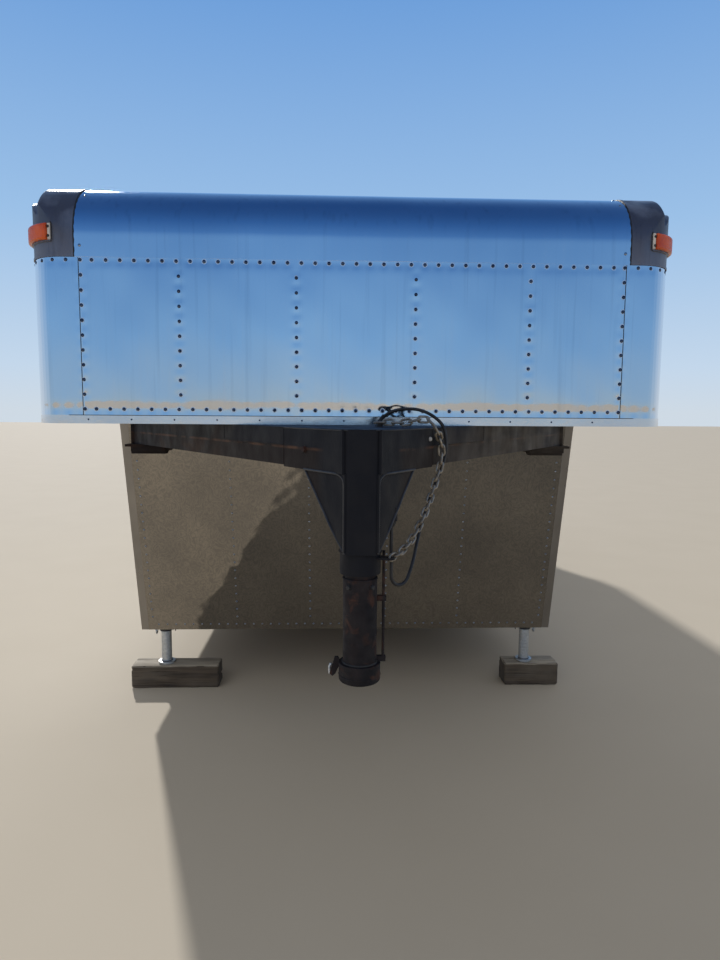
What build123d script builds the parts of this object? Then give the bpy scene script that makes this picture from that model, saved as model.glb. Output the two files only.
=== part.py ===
from build123d import *
from math import hypot, pi, radians, tan
import os

# Enclosed gooseneck van trailer. Millimetres, +Z up, the nose faces -Y and the left side is +X.
# The origin is on the ground in the middle of the whole length and width.

# Box body
BODY_WIDTH = 2438.0
BODY_LENGTH = 7315.0
ROOF_Z = 2508.0
SILL_Z = 373.0
WALL = 40.0
CORNER_R = 152.0
ROLL_R = 203.0
EDGE_R = 18.0
SHOULDER_IN = 52.0
SHOULDER_DROP = 53.0

# Nose that overhangs the neck
NOSE_Z = 1620.0
NOSE_RAIL_HEIGHT = 31.0
NOSE_RAIL_PROUD = 3.0
NOSE_OVERHANG = 1060.0
NOSE_SEAM_IN = 212.0
CAP_HEIGHT = 284.0
CAP_WIDTH = 190.0
CAP_PROUD = 3.0
CAP_RUN = 230.0
CAP_LIP = 8.0
CAP_LIP_PROUD = 2.0

# Raked bulkhead under the nose
BULKHEAD_RUN = 300.0
BULKHEAD_THICK = 40.0
POST_PROUD = 2.0

# Marker lamps that wrap the cap corners
MARKER_DROP = 225.0
MARKER_HEIGHT = 58.0
MARKER_THICK = 12.0
MARKER_BASE_THICK = 5.0
MARKER_IN = 95.5
MARKER_END = 135.0
MARKER_RIM = 7.0
MARKER_LUG = 14.0

# Neck
HEAD_REACH = 620.0
HEAD_HALF = 50.0
HEAD_ARM = 350.0
HEAD_PROUD = 5.0
BEAM_WIDTH = 60.0
BEAM_DEPTH = 125.0
BEAM_END_IN = 69.0
BEAM_SPREAD = 1100.0 / 1680.0
CHEEK_PROUD = 6.0
CHEEK_HEIGHT = 58.0
CHEEK_END = 820.0
TOP_PLATE = 8.0
TOP_PLATE_UNDER_NOSE = 60.0
SADDLE_IN = (239.0, 60.0)
SADDLE_HEIGHT = 180.0
SADDLE_REACH = 120.0
SADDLE_PLATE = 12.0

# Coupler post
POST_R = 62.0
POST_BORE_R = 54.0
COLLAR_FIT = 0.3
COLLAR_HEIGHT = 66.0
POST_FOOT_Z = 1187.0
FRONT_PLATE = 8.0
FRONT_RETURN = 45.0
FRONT_BEND_R = 14.0
GUSSET = 8.0
GUSSET_REACH = 222.0
GUSSET_DROP = 230.0
GUSSET_BEND_OUT = 70.0
GUSSET_BEND_DROP = 166.0

# Telescopic coupler tube with its ball socket
TUBE_R = 47.5
TUBE_BORE_R = 39.0
TUBE_TOP_Z = 1560.0
SLEEVE_R = 52.0
SLEEVE_TOP_Z = 1171.0
SOCKET_R = 64.0
SOCKET_Z = (850.0, 908.0)
BALL_R = 29.8
SOCKET_EDGE = 8.0
BALL_DEPTH = 42.0
RELEASE_ROD_R = 4.5
RELEASE_ROD_X = 72.0
RELEASE_ROD_BEHIND = 5.0
RELEASE_ROD_TOP_Z = 1253.0
RELEASE_LUG = 16.0
RELEASE_LUG_HEIGHTS = (SOCKET_Z[1], 1098.0)
LEVER_THICK = 12.0
LEVER_OUTLINE = ((-58.0, 905.0), (-66.0, 921.0), (-76.0, 921.0), (-92.0, 869.0), (-84.0, 861.0), (-74.0, 869.0))

# Frame and floor
RAIL_IN = 359.0
RAIL_WIDTH = 60.0
RAIL_Z = (373.0, 450.0)
RAIL_WEB = 6.0
CROSS_HEIGHT = 50.0
CROSS_WIDTH = 40.0
CROSS_PITCH = 406.4
CROSS_WEB = 5.0
DECK = 20.0

# Running gear
AXLE_GROUP_Y = 4900.0
AXLE_SPREAD = 860.0
WHEEL_IN = 161.5
TYRE_R = 391.0
TYRE_HALF = 117.5
BEAD_R = 205.0
BEAD_HALF = 76.0
TYRE_HALF_PROFILE = ((BEAD_HALF, BEAD_R), (TYRE_HALF - 14, 236.0), (TYRE_HALF, 292.0), (TYRE_HALF - 5, 340.0),
                     (TYRE_HALF - 20, 378.0), (TYRE_HALF - 36, TYRE_R))
DRUM_IN = -58.0
DRUM_R = 155.0
HUB_OUT = 95.0
RIM_LIP = 7.0
RIM_DEPTH = 17.0
WHEEL_PROFILE = ((BEAD_HALF + RIM_LIP, BEAD_R), (BEAD_HALF + RIM_LIP, BEAD_R - RIM_DEPTH), (30.0, BEAD_R - 19),
                 (28.0, 150.0), (34.0, 118.0), (34.0, 62.0), (62.0, 56.0), (HUB_OUT - 3, 42.0), (HUB_OUT, 0.0),
                 (DRUM_IN, 0.0), (DRUM_IN, DRUM_R), (10.0, DRUM_R), (22.0, BEAD_R - RIM_DEPTH),
                 (-BEAD_HALF - RIM_LIP, BEAD_R - RIM_DEPTH), (-BEAD_HALF - RIM_LIP, BEAD_R))
HAND_HOLES = 8
HAND_HOLE_R = 13.0
HAND_HOLE_PITCH_R = 135.0
HAND_HOLE_DEPTH = 16.0
DISC_OUT = 34.0
CUTOUT_LENGTH = 1840.0
CUTOUT_TOP_Z = 860.0
CUTOUT_R = 160.0
WHEEL_BOX_IN = 319.0
WHEEL_BOX_TOP_Z = 870.0
WHEEL_BOX_MARGIN = 40.0
WHEEL_BOX_SHEET = 6.0
AXLE_TUBE = 76.0
ARM_LENGTH = 152.0
ARM_THICK = 30.0
SPINDLE_R = 20.0
SPINDLE_FIT = 0.4
SPINDLE_OUT = 40.0
SPINDLE_END_GAP = 8.0
ARM_EYE_R = 46.0

# Rear end
REAR_FRAME_DEPTH = 60.0
REAR_POST = 54.0
DOOR = 40.0
DOOR_GAP = 5.0
DOOR_MEETING_GAP = 8.0
DOOR_HEAD = 113.0
DOOR_PROUD = 6.0
HINGE_OUT = 13.0
HINGE_PIN_R = 6.0
KNUCKLE_R = 13.0
KNUCKLE_HEIGHT = 60.0
HINGE_STRAP = 6.0
HINGE_FIT = 0.4
HINGE_SHARES = (0.095, 0.39, 0.685, 0.925)
LOCK_ROD_R = 11.0
LOCK_ROD_INSET = 420.0
BUMPER_OUT = 45.0
BUMPER_IN = 519.0
BUMPER_Z = (390.0, 490.0)
BUMPER_EDGE = 15.0
REAR_LAMP_IN = 139.0
REAR_LAMP_Z = 445.0
REAR_LAMP = (165.0, 60.0)
REAR_LAMP_OUT = 22.0
HINGE_LUG = 15.0
HINGE_LUG_GAP = 1.0
HINGE_LUG_ROOT = (26.0, 20.0)
STRAP_LENGTH = 180.0
ROD_BRACKET = (45.0, 20.0)
ROD_BRACKET_ENDS = 80.0
ROD_BRACKET_MIDDLE = (-250.0, 350.0)
ROD_BRACKET_COVER = 4.0
LOCK_HANDLE = (380.0, 10.0, 18.0)
LOCK_HANDLE_Z = 1150.0
PLATE_IN = 369.0
PLATE_Z = 447.0
PLATE_HOLES = 177.8
PLATE_HOLE_R = 3.5
PLATE_HOLE_DEPTH = 25.0

# Side door on the right, curb side
SIDE_DOOR_Y = 1750.0
SIDE_DOOR_WIDTH = 800.0
SIDE_DOOR_SILL = 540.0
SIDE_DOOR_HEAD = 178.0
SIDE_DOOR_R = 70.0
SIDE_KNUCKLE = 60.0
SIDE_KNUCKLE_R = 8.0
SIDE_KNUCKLE_GAP = 1.0
SIDE_PIN_R = 4.0
SIDE_LEAF = 40.0
SIDE_STRAP_LENGTH = 80.0
SIDE_STRAP = 5.0
HINGE_END = 250.0
HANDLE = (25.0, 60.0, 120.0)
HANDLE_INSET = 50.0
HANDLE_Z = 1300.0

# Parking jacks on timber blocks
JACK_IN = 119.0
JACK_SETBACK = 90.0
JACK_SLEEVE_R = 35.0
JACK_LEG_R = 30.0
JACK_FOOT_R = 49.0
JACK_FOOT = 12.0
JACK_PLATE = 131.0
JACK_PLATE_THICK = 8.0
JACK_SLEEVE_Z = 340.0
JACK_PIN_R = 6.0
JACK_PIN_Z = 352.0
JACK_PIN_HALF = 60.0
JACK_LOOP_R = 16.0
BLOCK = 140.0
BLOCK_EDGE = 6.0
BLOCK_IN = {"right": 444.0, "left": 254.0}
BLOCK_OUT = 81.0

# Safety chain
LINK_WIRE = 8.0
LINK_HOLE = 30.0
LINK_WIDTH = 27.0
LINK_SLACK = 0.8
EYE_Z = 1237.0
EYE_THICK = 6.0
EYE_R = 18.0
EYE_HOLE_R = 10.0
EYE_AT = (84.0, -584.0)
CHAIN_END = (86.8, -580.1, EYE_Z)
LINK_CORNER = 5.6

# Wiring cable and its parked plug
CABLE_R = 5.5
CABLE_ROUNDING = 0.45
GLAND_R = 12.0
GLAND_HEIGHT = 16.0
PLUG_R = 14.0
PLUG_LENGTH = 40.0
PLUG_FIT = 0.3
HOLDER_R = 18.0
HOLDER_HEIGHT = 42.0
PLUG_AT = (96.0, -520.0, 1320.0)

NOSE_Y = HEAD_REACH - (HEAD_REACH + BODY_LENGTH + BUMPER_OUT) / 2
REAR_Y = NOSE_Y + BODY_LENGTH
HALF = BODY_WIDTH / 2
NOSE_SEAM_X = HALF - NOSE_SEAM_IN
CAP_X = HALF - CAP_WIDTH
CAP_Z = ROOF_Z - CAP_HEIGHT
MARKER_Z = ROOF_Z - MARKER_DROP
BEAM_END_X = HALF - BEAM_END_IN
RAIL_X = HALF - RAIL_IN
WHEEL_X = HALF - WHEEL_IN
WHEEL_BOX_X = HALF - WHEEL_BOX_IN
DOOR_TOP_Z = ROOF_Z - DOOR_HEAD
SIDE_DOOR_Z = (SIDE_DOOR_SILL, ROOF_Z - SIDE_DOOR_HEAD)
JACK_X = HALF - JACK_IN
PLATE_X = HALF - PLATE_IN
BULK_Y = NOSE_Y + NOSE_OVERHANG
RAKE = BULKHEAD_RUN / (NOSE_Z - SILL_Z)
NOSE_RAIL_Z = NOSE_Z + NOSE_RAIL_HEIGHT
SHOULDER_Z = ROOF_Z - SHOULDER_DROP
WALL_TOP_Z = SHOULDER_Z - WALL
WALL_END_Y = REAR_Y - REAR_FRAME_DEPTH
CAP_END_Y = NOSE_Y + CAP_RUN
RAIL_IN_X = HALF - SHOULDER_IN - WALL
DECK_Z = RAIL_Z[1] + CROSS_HEIGHT
DECK_TOP_Z = DECK_Z + DECK
AXLE_Z = TYRE_R
AXLES = {"front": NOSE_Y + AXLE_GROUP_Y - AXLE_SPREAD / 2, "rear": NOSE_Y + AXLE_GROUP_Y + AXLE_SPREAD / 2}
JACK_Y = BULK_Y + BULKHEAD_RUN + JACK_SETBACK
SIDES = {"left": 1, "right": -1}

os.makedirs("parts", exist_ok=True)


def rake_y(z, setback=0.0):
    """Y of the raked bulkhead face at a height, moved back by a setback."""
    return BULK_Y + setback + (NOSE_Z - z) * RAKE


def on_side(part, side):
    """The part as built on the left, or mirrored to the right."""
    if SIDES[side] > 0:
        return part
    return mirror(part, about=Plane.YZ)


def write_piece(part, name):
    """Label one finished piece and write its file."""
    part.label = name
    export_step(part, f"parts/{name}.step")


def box_between(x, y, z, mode=Mode.ADD):
    """A box between two values on each axis, inside the open part."""
    with Locations((sum(x) / 2, sum(y) / 2, sum(z) / 2)):
        return Box(x[1] - x[0], y[1] - y[0], z[1] - z[0], mode=mode)


def nose_envelope(inset, edge_r):
    """Front end of the body, drawn in by an inset on every outer face."""
    end_y = NOSE_Y + 2 * CAP_RUN
    half = HALF - inset
    with BuildPart() as body:
        with BuildSketch(Plane.XY.offset(NOSE_Z)) as plan:
            with BuildLine():
                Polyline((-half, end_y), (-half, NOSE_Y + inset), (half, NOSE_Y + inset), (half, end_y), close=True)
            make_face()
            fillet(plan.vertices().group_by(Axis.Y)[0], CORNER_R - inset)
        extrude(amount=ROOF_Z - NOSE_Z - inset)
        with BuildSketch(Plane.YZ) as side:
            with BuildLine():
                Polyline((NOSE_Y + inset, NOSE_Z), (NOSE_Y + inset, ROOF_Z - inset), (end_y, ROOF_Z - inset),
                         (end_y, NOSE_Z), close=True)
            make_face()
            fillet(side.vertices().group_by(Axis.X)[0].sort_by(Axis.Y)[-1], ROLL_R - inset)
        extrude(amount=BODY_WIDTH, both=True, mode=Mode.INTERSECT)
        with BuildSketch(Plane.XZ.offset(-end_y)) as front:
            add(stepped_outline(inset, NOSE_Z))
            if edge_r > 0:
                corners = front.vertices().filter_by(lambda v: v.Y > NOSE_Z + 1)
                outer = corners.filter_by(lambda v: abs(v.X) > half - 1)
                top = corners.filter_by(lambda v: v.Y > ROOF_Z - inset - 1)
                fillet(outer + top, edge_r)
        extrude(amount=4 * CAP_RUN, mode=Mode.INTERSECT)
    return body.part


def stepped_outline(inset, bottom_z):
    """Front outline of the body with a stepped roof edge on each side."""
    half = HALF - inset
    step_x = half - SHOULDER_IN
    step_z = SHOULDER_Z - inset
    top_z = ROOF_Z - inset
    with BuildSketch() as outline:
        with BuildLine():
            Polyline((-half, bottom_z), (-half, step_z), (-step_x, step_z), (-step_x, top_z), (step_x, top_z),
                     (step_x, step_z), (half, step_z), (half, bottom_z), close=True)
        make_face()
    return outline.sketch


def nose_piece(skin, x, y, z):
    """The part of a nose skin that lies between two values on each axis."""
    with BuildPart() as piece:
        add(skin)
        box_between(x, y, z, mode=Mode.INTERSECT)
    return piece.part


def nose_skin(proud, depth, edge_r):
    """Curved skin of the nose between two offsets of the body."""
    with BuildPart() as skin:
        add(nose_envelope(-proud, edge_r))
        add(nose_envelope(depth - proud, 0), mode=Mode.SUBTRACT)
    return skin.part


def make_nose():
    """Front sheet, corner sheets, rolled cove and the two cast caps."""
    skin = nose_skin(0, WALL, 0)
    ahead = NOSE_Y - WALL
    write_piece(nose_piece(skin, (-NOSE_SEAM_X, NOSE_SEAM_X), (ahead, NOSE_Y + CORNER_R), (NOSE_RAIL_Z, CAP_Z)),
                "nose_front")
    write_piece(nose_piece(skin, (-CAP_X, CAP_X), (ahead, CAP_END_Y), (CAP_Z, ROOF_Z + 1)), "nose_cove")
    corner = nose_piece(skin, (NOSE_SEAM_X, HALF), (ahead, NOSE_Y + CORNER_R), (NOSE_RAIL_Z, CAP_Z))
    cast = nose_piece(nose_skin(CAP_PROUD, WALL + CAP_PROUD, EDGE_R), (CAP_X, HALF + WALL), (ahead, CAP_END_Y),
                      (CAP_Z, ROOF_Z + WALL))
    marker_x = HALF - MARKER_IN
    base = nose_piece(nose_skin(CAP_PROUD + MARKER_BASE_THICK, MARKER_BASE_THICK + 1, 0),
                      (marker_x - MARKER_LUG, HALF + WALL), (ahead, NOSE_Y + MARKER_END),
                      (MARKER_Z - MARKER_RIM, MARKER_Z + MARKER_HEIGHT + MARKER_RIM))
    lip_skin = nose_skin(CAP_PROUD + CAP_LIP_PROUD, CAP_LIP_PROUD + 1, 0)
    seam_lip = nose_piece(lip_skin, (CAP_X, CAP_X + CAP_LIP), (ahead, CAP_END_Y), (CAP_Z, ROOF_Z + WALL))
    foot_lip = nose_piece(lip_skin, (CAP_X, HALF + WALL), (ahead, CAP_END_Y), (CAP_Z, CAP_Z + CAP_LIP))
    lens_proud = CAP_PROUD + MARKER_BASE_THICK + MARKER_THICK
    lens = nose_piece(nose_skin(lens_proud, MARKER_THICK, 0), (marker_x, HALF + WALL),
                      (ahead, NOSE_Y + MARKER_END - MARKER_RIM), (MARKER_Z, MARKER_Z + MARKER_HEIGHT))
    for side in SIDES:
        with BuildPart() as cap:
            for piece in (cast, base, seam_lip, foot_lip):
                add(on_side(piece, side))
        write_piece(cap.part, f"corner_cap_{side}")
        write_piece(on_side(corner, side), f"nose_corner_{side}")
        write_piece(on_side(lens, side), f"marker_lens_{side}")


def make_nose_floor():
    """Floor of the nose with its bottom rail, which runs round the nose corners."""
    with BuildPart() as floor:
        with BuildSketch(Plane.XY.offset(NOSE_Z)) as plan:
            half = HALF + NOSE_RAIL_PROUD
            front_y = NOSE_Y - NOSE_RAIL_PROUD
            with BuildLine():
                Polyline((-half, BULK_Y), (-half, front_y), (half, front_y), (half, BULK_Y), close=True)
            make_face()
            fillet(plan.vertices().group_by(Axis.Y)[0], CORNER_R + NOSE_RAIL_PROUD)
        extrude(amount=NOSE_RAIL_HEIGHT)
    write_piece(floor.part, "nose_floor")


def make_bulkhead():
    """Raked lower front wall and the corner posts at its edges."""
    with BuildSketch() as rake:
        with BuildLine():
            Polyline((BULK_Y, NOSE_RAIL_Z), (BULK_Y, NOSE_Z), (rake_y(SILL_Z), SILL_Z),
                     (rake_y(SILL_Z, BULKHEAD_THICK), SILL_Z), (BULK_Y + BULKHEAD_THICK, NOSE_Z),
                     (BULK_Y + BULKHEAD_THICK, NOSE_RAIL_Z), close=True)
        make_face()
    with BuildPart() as panel:
        with BuildSketch(Plane.YZ):
            add(rake.sketch)
        extrude(amount=HALF - WALL, both=True)
    write_piece(panel.part, "bulkhead")
    with BuildPart() as post:
        with BuildSketch(Plane.YZ.offset(HALF - WALL)):
            add(rake.sketch)
        extrude(amount=WALL + POST_PROUD)
    for side in SIDES:
        write_piece(on_side(post.part, side), f"bulkhead_post_{side}")


def make_side_walls():
    """Side walls with the wheel cut-out, and the door opening on the right."""
    group_y = NOSE_Y + AXLE_GROUP_Y
    for side in SIDES:
        with BuildPart() as wall:
            with BuildSketch(Plane.YZ.offset(HALF - WALL)):
                with BuildLine():
                    Polyline((NOSE_Y + CORNER_R, NOSE_RAIL_Z), (BULK_Y + BULKHEAD_THICK, NOSE_RAIL_Z),
                             (BULK_Y + BULKHEAD_THICK, NOSE_Z), (rake_y(SILL_Z, BULKHEAD_THICK), SILL_Z),
                             (WALL_END_Y, SILL_Z), (WALL_END_Y, WALL_TOP_Z), (CAP_END_Y, WALL_TOP_Z),
                             (CAP_END_Y, CAP_Z), (NOSE_Y + CORNER_R, CAP_Z), close=True)
                make_face()
                with BuildSketch(mode=Mode.SUBTRACT) as arch:
                    with Locations((group_y, SILL_Z)):
                        Rectangle(CUTOUT_LENGTH, CUTOUT_TOP_Z - SILL_Z, align=(Align.CENTER, Align.MIN))
                    fillet(arch.vertices().group_by(Axis.Y)[-1], CUTOUT_R)
                if side == "right":
                    door_outline(DOOR_GAP, Mode.SUBTRACT)
            extrude(amount=WALL)
            if side == "right":
                pin_x, pin_y = side_hinge_pin()
                inner = SIDE_KNUCKLE / 2 + SIDE_KNUCKLE_GAP
                for z in side_hinge_heights():
                    for span in ((z - SIDE_KNUCKLE, z - inner), (z + inner, z + SIDE_KNUCKLE)):
                        box_between((HALF, HALF + HINGE_STRAP), (pin_y - SIDE_LEAF, pin_y), span)
                        with Locations((pin_x, pin_y, sum(span) / 2)):
                            Cylinder(SIDE_KNUCKLE_R, SIDE_KNUCKLE - inner)
                    with Locations((pin_x, pin_y, z)):
                        Cylinder(SIDE_PIN_R, 2 * SIDE_KNUCKLE)
        write_piece(on_side(wall.part, side), f"side_wall_{side}")


def side_hinge_pin():
    """X and Y of the side door's hinge pins, outside the wall and ahead of the door."""
    return HALF + SIDE_KNUCKLE_R + 1, NOSE_Y + SIDE_DOOR_Y - 2 * SIDE_KNUCKLE_R


def side_hinge_heights():
    """Heights of the side door's three hinges."""
    low, high = SIDE_DOOR_Z
    return low + HINGE_END, (low + high) / 2, high - HINGE_END


def door_outline(grow, mode=Mode.ADD):
    """Rounded outline of the side door, larger by a gap all round."""
    with Locations((NOSE_Y + SIDE_DOOR_Y + SIDE_DOOR_WIDTH / 2, sum(SIDE_DOOR_Z) / 2)):
        RectangleRounded(SIDE_DOOR_WIDTH + 2 * grow, SIDE_DOOR_Z[1] - SIDE_DOOR_Z[0] + 2 * grow,
                         SIDE_DOOR_R + grow, mode=mode)


def make_roof():
    """Roof panel between the two stepped roof rails."""
    with BuildPart() as roof:
        box_between((-RAIL_IN_X, RAIL_IN_X), (CAP_END_Y, WALL_END_Y), (ROOF_Z - WALL, ROOF_Z))
    write_piece(roof.part, "roof_panel")
    with BuildPart() as rail:
        with BuildSketch(Plane.XZ.offset(-WALL_END_Y)) as profile:
            with BuildLine():
                Polyline((HALF, WALL_TOP_Z), (HALF, SHOULDER_Z), (HALF - SHOULDER_IN, SHOULDER_Z),
                         (HALF - SHOULDER_IN, ROOF_Z), (RAIL_IN_X, ROOF_Z), (RAIL_IN_X, WALL_TOP_Z), close=True)
            make_face()
            fillet(profile.vertices().group_by(Axis.Y)[-1].sort_by(Axis.X)[-1], EDGE_R)
            fillet(profile.vertices().group_by(Axis.X)[-1].sort_by(Axis.Y)[-1], EDGE_R)
        extrude(amount=WALL_END_Y - CAP_END_Y)
    for side in SIDES:
        write_piece(on_side(rail.part, side), f"roof_rail_{side}")


def beam_frame(z):
    """Plane at a height with X along the outer face of the left neck beam and Y inward."""
    start = Vector(HEAD_HALF, NOSE_Y - HEAD_REACH, z)
    along = Vector(BEAM_END_X - HEAD_HALF, BULK_Y - NOSE_Y + HEAD_REACH, 0)
    return Plane(origin=start, x_dir=along, z_dir=(0, 0, 1))


def beside_beam(x, y):
    """X of a place beside the neck beam, moved with the beam where it spreads more or less than drawn."""
    frame = beam_frame(NOSE_Z)
    return x + (y + HEAD_REACH) * (frame.x_dir.X / frame.x_dir.Y - BEAM_SPREAD)


def ahead_of_bulkhead():
    """Plane of the raked bulkhead face, facing forward."""
    return Plane(origin=(0, BULK_Y, NOSE_Z), x_dir=(1, 0, 0), z_dir=(0, -1, -RAKE))


def make_neck_beams():
    """Two box beams that spread from the head to the bulkhead corners, with cheek plates and saddles."""
    length = hypot(BEAM_END_X - HEAD_HALF, NOSE_OVERHANG + HEAD_REACH) + 2 * BEAM_DEPTH
    low_z = NOSE_Z - BEAM_DEPTH
    with BuildPart() as beam:
        with BuildSketch(beam_frame(low_z)):
            with Locations((HEAD_ARM, 0)):
                Rectangle(length - HEAD_ARM, BEAM_WIDTH, align=(Align.MIN, Align.MIN))
        extrude(amount=BEAM_DEPTH)
        with BuildSketch(beam_frame(NOSE_Z - CHEEK_HEIGHT)):
            with Locations((HEAD_ARM, 0)):
                Rectangle(CHEEK_END - HEAD_ARM, CHEEK_PROUD, align=(Align.MIN, Align.MAX))
        extrude(amount=CHEEK_HEIGHT)
        shelf_z = NOSE_Z - SADDLE_HEIGHT
        rear_y = rake_y(shelf_z) + SADDLE_PLATE
        saddle_x = (HALF - SADDLE_IN[0], HALF - SADDLE_IN[1])
        box_between(saddle_x, (BULK_Y - SADDLE_REACH, rear_y), (low_z - SADDLE_PLATE, low_z))
        box_between(saddle_x, (BULK_Y - SADDLE_PLATE, rear_y), (shelf_z, NOSE_Z))
        split(bisect_by=ahead_of_bulkhead(), keep=Keep.TOP)
    for side in SIDES:
        write_piece(on_side(beam.part, side), f"neck_beam_{side}")


def post_axis_y():
    """Y of the coupler post, just behind its front plate."""
    return NOSE_Y - HEAD_REACH + FRONT_PLATE + POST_R


def head_arm():
    """Arm of the head along the left beam, with the gusset below it."""
    low_z = NOSE_Z - BEAM_DEPTH - HEAD_PROUD
    with BuildPart() as arm:
        with BuildSketch(beam_frame(low_z)):
            with Locations((HEAD_PROUD, -HEAD_PROUD)):
                Rectangle(HEAD_ARM - HEAD_PROUD, BEAM_WIDTH + 2 * HEAD_PROUD, align=(Align.MIN, Align.MIN))
        extrude(amount=NOSE_Z - low_z)
        frame = beam_frame(low_z)
        upright = Plane(origin=frame.origin, x_dir=frame.x_dir, z_dir=-frame.y_dir)
        with BuildSketch(upright):
            with BuildLine():
                Polyline((0, 0), (GUSSET_REACH, 0), (GUSSET_BEND_OUT, -GUSSET_BEND_DROP), (0, -GUSSET_DROP),
                         close=True)
            make_face()
        extrude(amount=-GUSSET)
    return arm.part


def make_neck_head():
    """Head that joins the beams: arms, gussets, front plate, top plate, post tube, collar, eye and holder."""
    axis_y = post_axis_y()
    front_y = NOSE_Y - HEAD_REACH
    plate_y = NOSE_Y + TOP_PLATE_UNDER_NOSE
    inner = beam_frame(NOSE_Z - TOP_PLATE)
    slope = inner.x_dir.X / inner.x_dir.Y
    inner_x = HEAD_HALF + (plate_y - front_y) * slope - BEAM_WIDTH / inner.x_dir.Y
    apex_y = plate_y - inner_x / slope
    with BuildPart() as head:
        add(head_arm())
        add(mirror(head_arm(), about=Plane.YZ))
        with BuildSketch(Plane.XY.offset(POST_FOOT_Z + COLLAR_HEIGHT)) as column:
            with Locations((0, front_y + FRONT_RETURN / 2)):
                Rectangle(2 * HEAD_HALF, FRONT_RETURN)
            fillet(column.vertices().group_by(Axis.Y)[0], FRONT_BEND_R)
        extrude(amount=NOSE_Z - POST_FOOT_Z - COLLAR_HEIGHT)
        with BuildSketch(Plane.XY.offset(NOSE_Z - TOP_PLATE)):
            with BuildLine():
                Polyline((-inner_x, plate_y), (0, apex_y), (inner_x, plate_y), close=True)
            make_face()
        extrude(amount=TOP_PLATE)
        with BuildSketch(Plane.XY.offset(POST_FOOT_Z)):
            with Locations((0, axis_y)):
                Circle(POST_R)
        extrude(amount=NOSE_Z - POST_FOOT_Z)
        with BuildSketch(Plane.XY.offset(EYE_Z - EYE_THICK / 2)):
            add(eye_outline())
        extrude(amount=EYE_THICK)
        plug_x, plug_y = beside_beam(*PLUG_AT[:2]), NOSE_Y + PLUG_AT[1]
        holder_z = PLUG_AT[2] + PLUG_LENGTH / 2
        with BuildSketch(Plane.XY.offset(holder_z)):
            with Locations((plug_x, plug_y)):
                Circle(HOLDER_R)
            with BuildLine():
                Polyline((0, axis_y), (plug_x, plug_y - PLUG_R / 2), (plug_x, plug_y + PLUG_R / 2), close=True)
            make_face()
        extrude(amount=HOLDER_HEIGHT)
        with BuildSketch(Plane.XY.offset(holder_z)):
            with Locations((plug_x, plug_y)):
                Circle(PLUG_R + PLUG_FIT)
        extrude(amount=HOLDER_HEIGHT - TOP_PLATE, mode=Mode.SUBTRACT)
        with BuildSketch(Plane.XY.offset(POST_FOOT_Z + COLLAR_HEIGHT)):
            with Locations((0, axis_y)):
                Circle(POST_BORE_R)
        extrude(amount=NOSE_Z - TOP_PLATE - POST_FOOT_Z - COLLAR_HEIGHT, mode=Mode.SUBTRACT)
        with BuildSketch(Plane.XY.offset(POST_FOOT_Z)):
            with Locations((0, axis_y)):
                Circle(TUBE_R + COLLAR_FIT)
        extrude(amount=COLLAR_HEIGHT, mode=Mode.SUBTRACT)
    write_piece(head.part, "neck_head")


def eye_outline():
    """Flat eye on the collar that takes the last chain link."""
    eye_x, eye_y = beside_beam(*EYE_AT), NOSE_Y + EYE_AT[1]
    with BuildSketch() as eye:
        with Locations((0, post_axis_y()), (eye_x, eye_y)):
            Circle(EYE_R)
        make_hull()
        with Locations((eye_x, eye_y)):
            Circle(EYE_HOLE_R, mode=Mode.SUBTRACT)
    return eye.sketch


def make_coupler():
    """Sliding coupler tube and the ball socket at its foot."""
    axis_y = post_axis_y()
    with BuildPart() as tube:
        with BuildSketch(Plane.XY.offset(SOCKET_Z[1])):
            with Locations((0, axis_y)):
                Circle(TUBE_R)
        extrude(amount=TUBE_TOP_Z - SOCKET_Z[1])
        with BuildSketch(Plane.XY.offset(SOCKET_Z[1])):
            with Locations((0, axis_y)):
                Circle(SLEEVE_R)
        extrude(amount=SLEEVE_TOP_Z - SOCKET_Z[1])
        with BuildSketch(Plane.XY.offset(SOCKET_Z[1])):
            with Locations((0, axis_y)):
                Circle(TUBE_BORE_R)
        extrude(amount=TUBE_TOP_Z - SOCKET_Z[1], mode=Mode.SUBTRACT)
        rod_y = axis_y + RELEASE_ROD_BEHIND
        for z in RELEASE_LUG_HEIGHTS:
            box_between((TUBE_R, RELEASE_ROD_X + RELEASE_LUG / 2), (rod_y - RELEASE_LUG / 2, rod_y + RELEASE_LUG / 2),
                        (z, z + RELEASE_LUG))
        with BuildSketch(Plane.XY.offset(SOCKET_Z[1])):
            with Locations((RELEASE_ROD_X, rod_y)):
                Circle(RELEASE_ROD_R)
        extrude(amount=RELEASE_ROD_TOP_Z - SOCKET_Z[1])
    write_piece(tube.part, "coupler_tube")
    with BuildPart() as socket:
        with BuildSketch(Plane.XY.offset(SOCKET_Z[0])):
            with Locations((0, axis_y)):
                Circle(SOCKET_R)
        extrude(amount=SOCKET_Z[1] - SOCKET_Z[0])
        fillet(socket.edges().group_by(Axis.Z)[0], SOCKET_EDGE)
        with BuildSketch(Plane.XZ.offset(-axis_y - LEVER_THICK)):
            with BuildLine():
                Polyline(*LEVER_OUTLINE, close=True)
            make_face()
        extrude(amount=LEVER_THICK)
        with BuildSketch(Plane.XY.offset(SOCKET_Z[0])):
            with Locations((0, axis_y)):
                Circle(BALL_R)
        extrude(amount=BALL_DEPTH, mode=Mode.SUBTRACT)
    write_piece(socket.part, "coupler_socket")


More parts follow.
